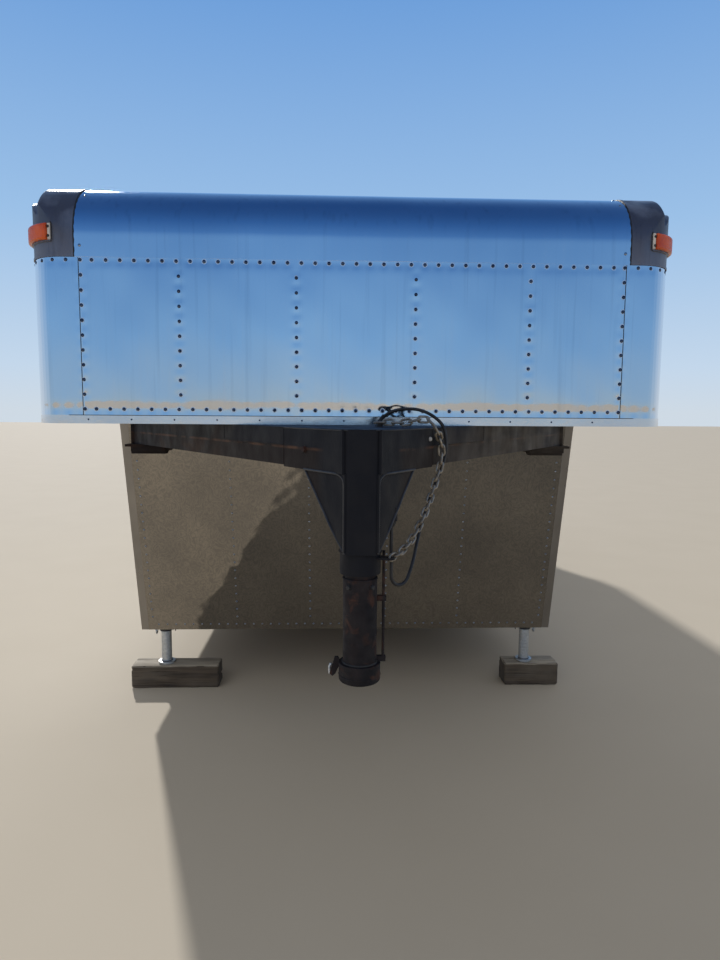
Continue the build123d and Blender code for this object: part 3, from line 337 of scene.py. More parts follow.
@dataclass(frozen=True)
class Galvanised(Finish):
    """Zinc with its spangle."""

    def colour(self, graph: Graph) -> Socket:
        """Cells of slightly different grey."""
        cells = graph.node("ShaderNodeTexVoronoi", {"Vector": graph.place(), "Scale": 95.0})
        grey = graph.node("ShaderNodeSeparateColor", {"Color": cells.outputs["Color"]}).outputs[0]
        return graph.mix(grey, self.tone, self.second)


@dataclass(frozen=True)
class CastCap(Finish):
    """Dull cast metal, paler towards its foot."""

    def colour(self, graph: Graph) -> Socket:
        """The casting with runs down it, paler towards its foot."""
        cast = super().colour(graph)
        # Paler towards the foot.
        low = graph.span(graph.axis("Z"), 2.22, 2.40, 0.75, 0.0)
        cast = graph.mix(low, cast, (0.24, 0.225, 0.25))
        return graph.blotch(cast, (0.05, 0.05, 0.062), (1.0, (60.0, 60.0, 5.0), 4.0), 0.55, 0.72, 0.0, 0.35)


@dataclass(frozen=True)
class NeckPaint(Finish):
    """Dark satin paint, brown under the arms, with a rust line, lighter brown patches on the left that are
    partly dust and partly painted reflection, and rust on the right.
    """

    def colour(self, graph: Graph) -> Socket:
        """The paint, its brown underside, the rust line over it, and the lighter brown patches and rust of
        the outer ends.
        """
        paint = super().colour(graph)
        where, height = graph.axis("X"), graph.axis("Z")
        arms = graph.span(graph.combine("ABSOLUTE", where, 0.0), 0.11, 0.14)
        under = graph.times(arms, graph.span(height, 1.552, 1.562, 0.8, 0.0))
        paint = graph.mix(under, paint, (0.020, 0.014, 0.013))
        band = graph.combine("SUBTRACT", graph.span(height, 1.549, 1.554), graph.span(height, 1.556, 1.562))
        line = graph.times(arms, band, graph.span(graph.noise(14.0), 0.4, 0.6))
        paint = graph.mix(line, paint, (0.10, 0.052, 0.034))
        # Lighter brown towards the left arm's outer end: partly dust, partly a painted reflection of lit
        # ground.
        dust = graph.times(graph.span(where, 0.16, 0.62, 0.0, 0.85),
                           graph.span(graph.noise(5.0, (1.0, 1.0, 2.5), 6.0), 0.25, 0.62))
        paint = graph.mix(dust, paint, (0.095, 0.082, 0.072))
        rust = graph.times(graph.span(where, -0.50, -0.62, 0.0, 1.0),
                           graph.span(graph.noise(6.0, (1.0, 1.0, 1.6), 6.0), 0.52, 0.72, 0.0, 0.6))
        return graph.mix(rust, paint, (0.060, 0.026, 0.014))


@dataclass(frozen=True)
class Timber(Finish):
    """Weathered timber with its grain along X, cracks and dark rings."""

    def colour(self, graph: Graph) -> Socket:
        """Grain lines in two browns under a grey bleach, with paler top faces that are partly sun bleaching
        and partly painted sunlight.
        """
        wood = graph.blotch(self.tone, self.second, (1.0, (2.2, 46.0, 46.0), 6.0, 1.2), 0.36, 0.64)
        wood = graph.blotch(wood, (0.14, 0.122, 0.10), (7.0, (0.6, 1.0, 1.0), 4.0), 0.42, 0.68, 0.0, 0.55)
        # Paler tops: partly sun bleaching, partly painted sunlight on the top faces.
        sunlit_and_bleached_tops = graph.times(graph.span(graph.facing_up(), 0.3, 0.9),
                          graph.span(graph.noise(1.0, (3.0, 30.0, 30.0), 4.0), 0.25, 0.6, 0.45, 0.95))
        wood = graph.mix(sunlit_and_bleached_tops, wood, (0.44, 0.40, 0.335))
        cracks = (1.0, (3.0, 120.0, 120.0), 4.0, 0.8)
        return graph.blotch(wood, (0.02, 0.016, 0.012), cracks, 0.30, 0.38, 0.85, 0.0)

    def height(self, graph: Graph) -> Socket:
        """Raised grain."""
        return graph.noise(1.0, (3.0, 90.0, 90.0), 5.0, 0.8)


@dataclass(frozen=True)
class LampLens(Finish):
    """Moulded lens with the glow of a clear plastic."""

    def extra(self, graph: Graph, shader: bpy.types.Node) -> None:
        """A clear body under a gloss skin."""
        shader.inputs["Transmission Weight"].default_value = 0.12
        shader.inputs["IOR"].default_value = 1.49


class Look(Enum):
    """The finishes of the trailer, by the maker's plain names."""

    SHEET = PolishedSheet("polished_sheet", (0.80, 0.82, 0.86), (0.70, 0.73, 0.78), 1.0, (0.035, 0.13))
    # Bulkhead sheet: its dark, warm tones are painted shade and a painted reflection of sunlit ground, not
    # the sheet's own silver.
    BULKHEAD_SHEET = SwirledSheet("bulkhead_sheet", (0.345, 0.315, 0.275), (0.13, 0.128, 0.130), 1.0,
                                  (0.02, 0.06))
    # Nose rivets: the dark heads and the bright rings round them are painted reflections.
    HALO = Finish("rivet_ring", (0.78, 0.83, 0.90), (0.66, 0.71, 0.79), 0.8, (0.20, 0.35), 20.0)
    NOSE_RIVET = Finish("nose_rivet", (0.10, 0.125, 0.18), (0.055, 0.07, 0.11), 0.9, (0.28, 0.42), 20.0)
    RAIL = Finish("polished_rail", (0.86, 0.87, 0.90), (0.74, 0.76, 0.80), 1.0, (0.10, 0.24), 3.0,
                  depth=0.00015, fine=40.0)
    RIVET = Finish("rivet_steel", (0.44, 0.46, 0.50), (0.30, 0.32, 0.35), 1.0, (0.22, 0.38), 20.0)
    CAST = CastCap("cast_aluminium", (0.125, 0.125, 0.145), (0.080, 0.082, 0.100), 0.75, (0.36, 0.54), 7.0,
                   (1.0, 1.0, 0.5), depth=0.0006, fine=260.0, dust=(0.62, 0.60, 0.57), dust_share=0.9)
    POST = Finish("bulkhead_post", (0.34, 0.32, 0.30), (0.26, 0.245, 0.23), 0.9, (0.24, 0.42), 5.0,
                  (1.0, 1.0, 0.4), depth=0.0002, fine=300.0)
    EXTRUSION = Finish("extruded_aluminium", (0.74, 0.75, 0.77), (0.62, 0.63, 0.65), 0.9, (0.24, 0.42), 5.0,
                       (1.0, 0.4, 1.0), depth=0.0002, fine=300.0)
    PANEL = Finish("white_panel", (0.82, 0.83, 0.83), (0.76, 0.77, 0.765), 0.0, (0.28, 0.42), 1.4,
                   (1.0, 0.5, 1.6), (0.4, 0.75), depth=0.0003, fine=16.0, dust=(0.52, 0.47, 0.40),
                   dust_share=0.4, coat=0.3)
    # Paler than the neck paint: partly edge wear, partly a painted highlight where the edges catch the light.
    WORN_EDGE = Finish("worn_edge", (0.045, 0.046, 0.052), (0.024, 0.025, 0.030), 0.2, (0.3, 0.5), 20.0)
    DARK_STEEL = NeckPaint("dark_steel", (0.009, 0.0105, 0.016), (0.015, 0.016, 0.021), 0.0, (0.42, 0.66),
                           7.0, (1.0, 1.0, 0.6), depth=0.0005, fine=150.0, dust=(0.13, 0.105, 0.08),
                           dust_share=0.35, shine=0.12)
    CHASSIS = Finish("chassis_steel", (0.050, 0.052, 0.058), (0.085, 0.08, 0.075), 0.0, (0.5, 0.75), 5.0,
                     depth=0.0006, fine=110.0, dust=(0.24, 0.19, 0.14), dust_share=0.6)
    RUSTY = RustySteel("rusty_steel", (0.030, 0.023, 0.024), (0.014, 0.012, 0.014), 0.15, (0.60, 0.90), 14.0,
                       depth=0.0016, fine=85.0, shine=0.35)
    GALVANISED = Galvanised("galvanised", (0.50, 0.52, 0.53), (0.64, 0.655, 0.66), 0.85, (0.36, 0.55), 12.0,
                            depth=0.0003, fine=200.0, dust=(0.38, 0.34, 0.29), dust_share=0.4)
    DECK = Timber("deck_timber", (0.33, 0.24, 0.155), (0.22, 0.155, 0.10), 0.0, (0.65, 0.85), 5.0,
                  depth=0.001)
    BLOCK = Timber("block_timber", (0.095, 0.074, 0.055), (0.048, 0.038, 0.030), 0.0, (0.72, 0.92), 5.0,
                   depth=0.0022)
    AMBER = LampLens("amber_lens", (0.52, 0.060, 0.006), (0.74, 0.125, 0.012), 0.0, (0.16, 0.26), 18.0,
                     coat=0.12, shine=0.35)
    RED = LampLens("red_lens", (0.60, 0.02, 0.015), (0.72, 0.05, 0.03), 0.0, (0.10, 0.2), 30.0, coat=0.6)
    TYRE = Finish("tyre_rubber", (0.022, 0.022, 0.024), (0.034, 0.033, 0.032), 0.0, (0.66, 0.88), 9.0,
                  depth=0.0006, fine=180.0, dust=(0.20, 0.165, 0.125), dust_share=0.5)
    WHEEL = Finish("wheel_steel", (0.68, 0.69, 0.70), (0.58, 0.585, 0.59), 0.25, (0.3, 0.5), 12.0,
                   depth=0.0004, fine=120.0, dust=(0.30, 0.22, 0.15), dust_share=0.6)
    CHAIN = Finish("zinc_chain", (0.42, 0.375, 0.31), (0.24, 0.20, 0.155), 0.7, (0.38, 0.55), 45.0,
                   depth=0.0003, fine=300.0)
    RUBBER = Finish("black_rubber", (0.018, 0.018, 0.020), (0.030, 0.030, 0.032), 0.0, (0.42, 0.6), 30.0,
                    depth=0.0002, fine=300.0)
    LAMP_BASE = Finish("lamp_base", (0.62, 0.60, 0.58), (0.50, 0.48, 0.46), 0.0, (0.4, 0.6), 25.0,
                       depth=0.0003)
    BLACK_TRIM = Finish("black_trim", (0.020, 0.020, 0.022), (0.036, 0.035, 0.034), 0.0, (0.5, 0.7), 14.0,
                        depth=0.0004, fine=160.0)

    def material(self) -> bpy.types.Material:
        """The look's material, made the first time."""
        found = bpy.data.materials.get(self.value.title)
        return found or self.value.build()


def both(stem: str) -> tuple[str, ...]:
    """Names of a left and a right node."""
    return tuple(f"{stem}_{side.word}" for side in Side)


DRESS: dict[Look, tuple[str, ...]] = {
    Look.SHEET: ("nose_front", *both("nose_corner"), "nose_cove"),
    Look.BULKHEAD_SHEET: ("bulkhead",),
    Look.CAST: both("corner_cap"),
    Look.POST: both("bulkhead_post"),
    Look.RAIL: ("nose_floor",),
    Look.EXTRUSION: (*both("roof_rail"), "rear_frame"),
    Look.PANEL: (*both("side_wall"), "roof_panel", *both("rear_door"), "side_door"),
    Look.DARK_STEEL: ("neck_head", *both("neck_beam")),
    Look.CHASSIS: (*both("frame_rail"), "cross_members_front", "cross_members_middle", "cross_members_rear",
                   "torsion_axle_front", "torsion_axle_rear", "rear_bumper"),
    Look.RUSTY: ("coupler_tube", "coupler_socket"),
    Look.GALVANISED: (*both("jack"), *both("wheel_box")),
    Look.DECK: ("deck_floor",),
    Look.BLOCK: both("timber_block"),
    Look.AMBER: both("marker_lens"),
    Look.RED: both("rear_lamp"),
    Look.TYRE: (*both("tyre_front"), *both("tyre_rear")),
    Look.WHEEL: (*both("wheel_front"), *both("wheel_rear")),
    Look.CHAIN: ("safety_chain",),
    Look.RUBBER: ("wiring_cable", "cable_gland", "cable_plug"),
}


# Meshes and repeats


def smooth(mesh: Mesh, angle: float) -> Mesh:
    """Shade a mesh smooth, but for edges sharper than an angle in degrees."""
    mesh.polygons.foreach_set("use_smooth", [True] * len(mesh.polygons))
    mesh.set_sharp_from_angle(angle=math.radians(angle))
    return mesh


def put_in_scene(name: str, data: bpy.types.ID) -> Piece:
    """A new object in the scene."""
    made = bpy.data.objects.new(name, data)
    bpy.context.scene.collection.objects.link(made)
    return made


def smooth_mesh(name: str, points: Sequence[Sequence[float]], faces: Sequence[Sequence[int]],
                angle: float = 30.0) -> Mesh:
    """Make a mesh with smooth shading up to an angle.

    Args:
        name: the mesh's name.
        points: its corners.
        faces: corners of each face, seen from outside in turn.
        angle: edges sharper than this stay sharp, in degrees.

    Returns:
        The mesh.
    """
    mesh = bpy.data.meshes.new(name)
    mesh.from_pydata([tuple(map(float, p)) for p in points], [], [tuple(map(int, f)) for f in faces])
    smooth(mesh, angle).validate()
    return mesh


def built_mesh(name: str, build: Build, angle: float = 30.0) -> Mesh:
    """Make a mesh from a function that fills a bmesh.

    Args:
        name: the mesh's name.
        build: fills the bmesh.
        angle: edges sharper than this stay sharp, in degrees.

    Returns:
        The mesh.
    """
    made = bmesh.new()
    build(made)
    bmesh.ops.recalc_face_normals(made, faces=made.faces)
    mesh = bpy.data.meshes.new(name)
    made.to_mesh(mesh)
    made.free()
    return smooth(mesh, angle)


def skin_mesh(name: str, front: Grid, back: Grid, mirrored: bool = False) -> Mesh:
    """Closed sheet between two grids of points of the same size.

    Args:
        name: the mesh's name.
        front: rows by columns by 3, seen from outside with rows going up and columns to the right.
        back: the same for the hidden face.
        mirrored: whether the columns run to the left.

    Returns:
        The mesh.
    """
    if mirrored:
        front, back = front[:, ::-1], back[:, ::-1]
    rows, columns = front.shape[:2]
    points = np.concatenate([front.reshape(-1, 3), back.reshape(-1, 3)])
    index = np.arange(rows * columns).reshape(rows, columns)
    shift = rows * columns
    quads = np.stack([index[:-1, :-1], index[:-1, 1:], index[1:, 1:], index[1:, :-1]], -1).reshape(-1, 4)
    faces = quads.tolist() + (quads[:, ::-1] + shift).tolist()
    rim = [*index[0, :], *index[1:, -1], *index[-1, -2::-1], *index[-2:0:-1, 0]]
    for a, b in zip(rim, rim[1:] + rim[:1]):
        faces.append([b, a, a + shift, b + shift])
    return smooth_mesh(name, points, faces, 40.0)


def thicken(made: BMesh, depth: float) -> None:
    """Close an open surface with a copy of it a depth behind and a wall round its rim."""
    bmesh.ops.remove_doubles(made, verts=made.verts, dist=1e-6)
    made.normal_update()
    faces, verts = list(made.faces), list(made.verts)
    rim = [(loop.vert, loop.link_loop_next.vert) for face in faces for loop in face.loops
           if len(loop.edge.link_faces) == 1]
    behind = {vert: made.verts.new(vert.co - vert.normal * depth) for vert in verts}
    for face in faces:
        made.faces.new([behind[vert] for vert in reversed(face.verts)])
    for a, b in rim:
        made.faces.new((b, a, behind[a], behind[b]))


def grid_faces(made: BMesh, points: Grid, flip: bool = False) -> None:
    """Add the quads of a grid of points, seen from outside with rows up and columns to the right."""
    rows, columns = points.shape[:2]
    verts = [[made.verts.new(points[i, j].tolist()) for j in range(columns)] for i in range(rows)]
    for i in range(rows - 1):
        for j in range(columns - 1):
            ring = (verts[i][j], verts[i][j + 1], verts[i + 1][j + 1], verts[i + 1][j])
            made.faces.new(ring[::-1] if flip else ring)


def turns(count: int) -> list[float]:
    """Angles that part a full turn evenly."""
    return [2 * math.pi * i / count for i in range(count)]


def bridge(made: BMesh, rings: Sequence[Sequence[bmesh.types.BMVert]], joined: bool = False) -> None:
    """Add quads from each ring of corners to the next one, and from the last to the first where joined."""
    follow = [*rings[1:], rings[0]] if joined else rings[1:]
    for low, high in zip(rings, follow):
        for k in range(len(low)):
            m = (k + 1) % len(low)
            made.faces.new((low[k], low[m], high[m], high[k]))


def revolved(made: BMesh, profile: Profile, count: int, place: Matrix) -> None:
    """Add a closed solid turned round a local Z axis.

    Args:
        made: the bmesh to fill.
        profile: radius and height, from the bottom of the axis up to its top.
        count: sides of the turn.
        place: where the local axis stands.
    """
    rings: list[list[bmesh.types.BMVert]] = []
    for radius, height in profile:
        if radius < 1e-6:
            rings.append([made.verts.new(place @ Vector((0.0, 0.0, height)))])
            continue
        rings.append([made.verts.new(place @ Vector((radius * math.cos(a), radius * math.sin(a), height)))
                      for a in turns(count)])
    for low, high in zip(rings, rings[1:]):
        if len(low) == len(high):
            bridge(made, (low, high))
            continue
        for i in range(count):
            j = (i + 1) % count
            made.faces.new((low[0], high[j], high[i]) if len(low) == 1 else (low[i], low[j], high[0]))
    for ring in (rings[0], rings[-1]):
        if len(ring) > 2:
            made.faces.new(ring)


def prism(made: BMesh, outline: Profile, low: float, high: float, place: Matrix) -> None:
    """Add a straight prism over an outline in a local XY plane."""
    bottom, top = ([made.verts.new(place @ Vector((x, y, z))) for x, y in outline] for z in (low, high))
    made.faces.new(bottom[::-1])
    made.faces.new(top)
    bridge(made, (bottom, top))


def bar(made: BMesh, x: Pair, y: Pair, z: Pair) -> None:
    """Add a block between two values on each axis."""
    prism(made, [(x[0], y[0]), (x[1], y[0]), (x[1], y[1]), (x[0], y[1])], z[0], z[1], Matrix())


def tube_along(made: BMesh, path: Sequence[Vector], radius: float, sides: int, closed: bool = False,
               ripple: float = 0.0) -> None:
    """Add a round bar along a path.

    Args:
        made: the bmesh to fill.
        path: points of the middle line.
        radius: radius of the bar.
        sides: sides of its section.
        closed: whether the path joins up with its start.
        ripple: share by which every second ring is wider, as in a weld bead.
    """
    count = len(path)
    rings = []
    normal = None
    for i, point in enumerate(path):
        ahead = path[(i + 1) % count] if closed or i + 1 < count else point
        behind = path[i - 1] if closed or i > 0 else point
        heading = (ahead - behind).normalized()
        if normal is None:
            normal = heading.orthogonal().normalized()
        normal = (normal - heading * normal.dot(heading)).normalized()
        other = heading.cross(normal)
        wide = radius * (1.0 + ripple * (i % 2))
        rings.append([made.verts.new(point + wide * (math.cos(a) * normal + math.sin(a) * other))
                      for a in turns(sides)])
    bridge(made, rings, closed)
    if not closed:
        made.faces.new(rings[0][::-1])
        made.faces.new(rings[-1])


@dataclass
class Spot:
    """A place for a repeated part: its point, its outward direction and the direction along it."""

    point: Vector
    outward: Vector
    along: Vector = Vector((1.0, 0.0, 0.0))


class Repeat:
    """Geometry Nodes tree that sets one part on every point of a mesh, turned by two stored directions."""

    NAME = "part_on_each_point"

    @classmethod
    def tree(cls) -> bpy.types.GeometryNodeTree:
        """The tree, made the first time.

        Returns:
            The node group with the inputs Points, Part and Finish.
        """
        found = bpy.data.node_groups.get(cls.NAME)
        if found:
            return found
        tree = bpy.data.node_groups.new(cls.NAME, "GeometryNodeTree")
        for label, kind in (("Points", "Geometry"), ("Part", "Object"), ("Finish", "Material")):
            tree.interface.new_socket(label, in_out="INPUT", socket_type=f"NodeSocket{kind}")
        tree.interface.new_socket("Result", in_out="OUTPUT", socket_type="NodeSocketGeometry")
        graph = Graph(tree)
        entry = graph.node("NodeGroupInput")
        outward = graph.node("GeometryNodeInputNamedAttribute", {"Name": "outward"}, data_type="FLOAT_VECTOR")
        along = graph.node("GeometryNodeInputNamedAttribute", {"Name": "along"}, data_type="FLOAT_VECTOR")
        stand = graph.node("FunctionNodeAlignRotationToVector", {"Vector": outward.outputs[0]}, axis="Z")
        turn = graph.node("FunctionNodeAlignRotationToVector", axis="X", pivot_axis="Z",
                          inputs={"Rotation": stand.outputs[0], "Vector": along.outputs[0]})
        part = graph.node("GeometryNodeObjectInfo", {"Object": entry.outputs["Part"]})
        copies = graph.node("GeometryNodeInstanceOnPoints",
                            {"Points": entry.outputs["Points"], "Instance": part.outputs["Geometry"],
                             "Rotation": turn.outputs[0]})
        real = graph.node("GeometryNodeRealizeInstances", {"Geometry": copies.outputs["Instances"]})
        dressed = graph.node("GeometryNodeSetMaterial",
                             {"Geometry": real.outputs[0], "Material": entry.outputs["Finish"]})
        leave = graph.node("NodeGroupOutput")
        graph.put(leave.inputs["Result"], dressed.outputs[0])
        return tree

    @classmethod
    def mesh(cls, name: str, part: Mesh, spots: Sequence[Spot], look: Look) -> Mesh:
        """Set a part on every spot.

        Args:
            name: the name of the result.
            part: the part, standing along +Z with its length along +X.
            spots: where the copies go.
            look: their finish.

        Returns:
            One plain mesh of all the copies.
        """
        cloud = bpy.data.meshes.new(name + "_points")
        cloud.from_pydata([tuple(s.point) for s in spots], [], [])
        for label, values in (("outward", [s.outward for s in spots]), ("along", [s.along for s in spots])):
            attribute = cloud.attributes.new(label, "FLOAT_VECTOR", "POINT")
            attribute.data.foreach_set("vector", [float(c) for v in values for c in v])
        holder = put_in_scene(name + "_points", cloud)
        source = bpy.data.objects.new(name + "_part", part)
        tree = cls.tree()
        modifier = holder.modifiers.new("repeat", "NODES")
        modifier.node_group = tree
        inputs = {s.name: s.identifier for s in tree.interface.items_tree if s.in_out == "INPUT"}
        modifier[inputs["Part"]] = source
        modifier[inputs["Finish"]] = look.material()
        bpy.context.view_layer.update()
        seen = holder.evaluated_get(bpy.context.evaluated_depsgraph_get())
        result = bpy.data.meshes.new_from_object(seen)
        result.name = name
        bpy.data.objects.remove(holder)
        bpy.data.objects.remove(source)
        for label in ("outward", "along"):
            if label in result.attributes:
                result.attributes.remove(result.attributes[label])
        return result


def turned_mesh(name: str, profiles: Sequence[tuple[Profile, int]], angle: float,
                place: Matrix = Matrix()) -> Mesh:
    """Make a mesh of closed solids turned round one local Z axis.

    Args:
        name: the mesh's name.
        profiles: radius and height along each profile, with its count of sides.
        angle: edges sharper than this stay sharp, in degrees.
        place: where the axis stands.

    Returns:
        The mesh.
    """
    def build(made: BMesh) -> None:
        """Turn every profile."""
        for profile, sides in profiles:
            revolved(made, profile, sides, place)
    return built_mesh(name, build, angle)


def dome(radius: float, height: float) -> Mesh:
    """A rivet head: a low dome with a closed foot just under the surface."""
    profile = ((radius, -0.0004), (radius * 0.96, height * 0.35), (radius * 0.62, height * 0.85),
               (0.0, height))
    return turned_mesh("rivet_head", ((profile, 8),), 50.0)


def ring_disc(radius: float) -> Mesh:
    """A thin disc, painted bright as a painted reflection in the ring pressed round a rivet."""
    return turned_mesh("rivet_ring", ((((radius, -0.0006), (radius, 0.0002), (0.0, 0.0002)), 12),), 60.0)


def hexagon_bolt(across: float, height: float) -> Mesh:
    """A chamfered hexagon bolt head on a round washer."""
    low, wide = height * 0.22, across * 0.57
    washer = ((across * 0.62, -0.0004), (across * 0.62, low), (0.0, low))
    head = ((wide, low), (wide, height * 0.85), (across * 0.48, height), (0.0, height))
    return turned_mesh("bolt_head", ((washer, 16), (head, 6)), 25.0)


def add_piece(name: str, mesh: Mesh, look: Look, body: str = "trailer", slot: str | None = None,
              stands_for: Sequence[str] = ()) -> Piece:
    """Put a finished mesh in the scene as a piece of the trailer.

    Args:
        name: the piece's name.
        mesh: its mesh, in place.
        look: its finish.
        body: the body that it rides on.
        slot: the record's material slot of its finish, not used.
        stands_for: CAD nodes that it replaces.

    Returns:
        The object.
    """
    mesh.materials.clear()
    mesh.materials.append(look.material())
    piece = put_in_scene(name, mesh)
    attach(piece, body)
    if stands_for:
        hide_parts(*stands_for)
    LOG.info("piece %s: %d faces on %s", name, len(mesh.polygons), body)
    return piece


def spread(start: float, end: float, pitch: float) -> list[float]:
    """Even places from one value to another, about a pitch apart, with both ends."""
    count = max(1, round(abs(end - start) / pitch))
    return [start + (end - start) * i / count for i in range(count + 1)]


def built_piece(name: str, build: Build, look: Look, body: str = "trailer", angle: float = 30.0,
                **named: object) -> Piece:
    """A piece from a function that fills a bmesh, named in add_piece's way."""
    return add_piece(name, built_mesh(name, build, angle), look, body, **named)


def copies_piece(name: str, part: Mesh, spots: Sequence[Spot], look: Look, body: str = "trailer",
                 **named: object) -> Piece:
    """Copies of a part on all the spots, as one piece."""
    return add_piece(name, Repeat.mesh(name, part, spots, look), look, body, **named)


def rivet_piece(name: str, spots: Sequence[Spot], radius: float = 0.0055, look: Look = Look.RIVET,
                body: str = "trailer") -> Piece:
    """Rivet heads on all the spots, as one piece."""
    return copies_piece(name, dome(radius, radius * 0.5), spots, look, body)


def bars_piece(name: str, boxes: Sequence[tuple[Pair, Pair, Pair]], look: Look,
               body: str = "trailer") -> Piece:
    """Blocks between pairs of X, Y and Z, as one piece."""
    def build(made: BMesh) -> None:
        """Add every block."""
        for box in boxes:
            bar(made, *box)
    return built_piece(name, build, look, body)


def sweep_piece(name: str, paths: Sequence[Run], look: Look, body: str = "trailer", sides: int = 8,
                ripple: float = 0.0) -> Piece:
    """Round bars along paths, each with its radius and whether it closes, as one piece."""
    def build(made: BMesh) -> None:
        """Add every bar."""
        for path, radius, closed in paths:
            tube_along(made, path, radius, sides, closed, ripple)
    return built_piece(name, build, look, body, 45.0)


def ring_path(centre: Point, first: Point, second: Point, count: int) -> list[Vector]:
    """Points round an ellipse, from the end of its first half axis towards that of its second."""
    return [Vector([c + f * math.cos(a) + s * math.sin(a) for c, f, s in zip(centre, first, second)])
            for a in turns(count)]


def level_ring(centre: Point, radius: float, count: int) -> list[Vector]:
    """Points round a level circle."""
    return ring_path(centre, (radius, 0.0, 0.0), (0.0, radius, 0.0), count)


def finely(points: Sequence[Vector], step: float, closed: bool = False) -> list[Vector]:
    """Points added along straight runs so that none is longer than a step."""
    ring = [*points, points[0]] if closed else list(points)
    fine = [ring[0]]
    for a, b in zip(ring, ring[1:]):
        count = max(1, math.ceil((b - a).length / step))
        fine += [a.lerp(b, i / count) for i in range(1, count + 1)]
    return fine[:-1] if closed else fine


def rounded_loop(half_a: float, half_b: float, radius: float, steps: int = 6) -> list[Pair]:
    """Outline of a rectangle with round corners, anticlockwise."""
    loop = []
    for turn, (sign_a, sign_b) in enumerate(((1, 1), (-1, 1), (-1, -1), (1, -1))):
        for i in range(steps + 1):
            angle = math.pi / 2 * (turn + i / steps)
            loop.append((sign_a * (half_a - radius) + radius * math.cos(angle),
                         sign_b * (half_b - radius) + radius * math.sin(angle)))
    return loop


def rear_loop(centre: Point, half_a: float, half_b: float, radius: float, steps: int = 6) -> list[Vector]:
    """Run round a rounded rectangle that faces back."""
    return [Vector((centre[0] + a, centre[1], centre[2] + b))
            for a, b in rounded_loop(half_a, half_b, radius, steps)]


def merged_copy(node: str) -> BMesh:
    """A copy of a CAD node's mesh with its loose corners merged."""
    made = bmesh.new()
    made.from_mesh(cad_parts[node].data)
    bmesh.ops.remove_doubles(made, verts=made.verts, dist=1e-5)
    return made


def islands(made: BMesh) -> list[Grid]:
    """Corner points of each separate solid of a mesh."""
    left = set(made.verts)
    found = []
    while left:
        start = left.pop()
        group, queue = [start], [start]
        while queue:
            for edge in queue.pop().link_edges:
                for vert in edge.verts:
                    if vert in left:
                        left.remove(vert)
                        group.append(vert)
                        queue.append(vert)
        found.append(np.array([v.co for v in group]))
    return found


def dimples(across: Grid, along: Grid, pit: Pair, groove: Pair) -> Grid:
    """Pits at the rivets of a row in a groove along it, each with its depth and width."""
    near = (along + RIVET_PITCH / 2) % RIVET_PITCH - RIVET_PITCH / 2
    return (pit[0] * np.exp(-(across ** 2 + near ** 2) / pit[1] ** 2)
            + groove[0] * np.exp(-(across ** 2) / groove[1] ** 2))


# Sub-assemblies


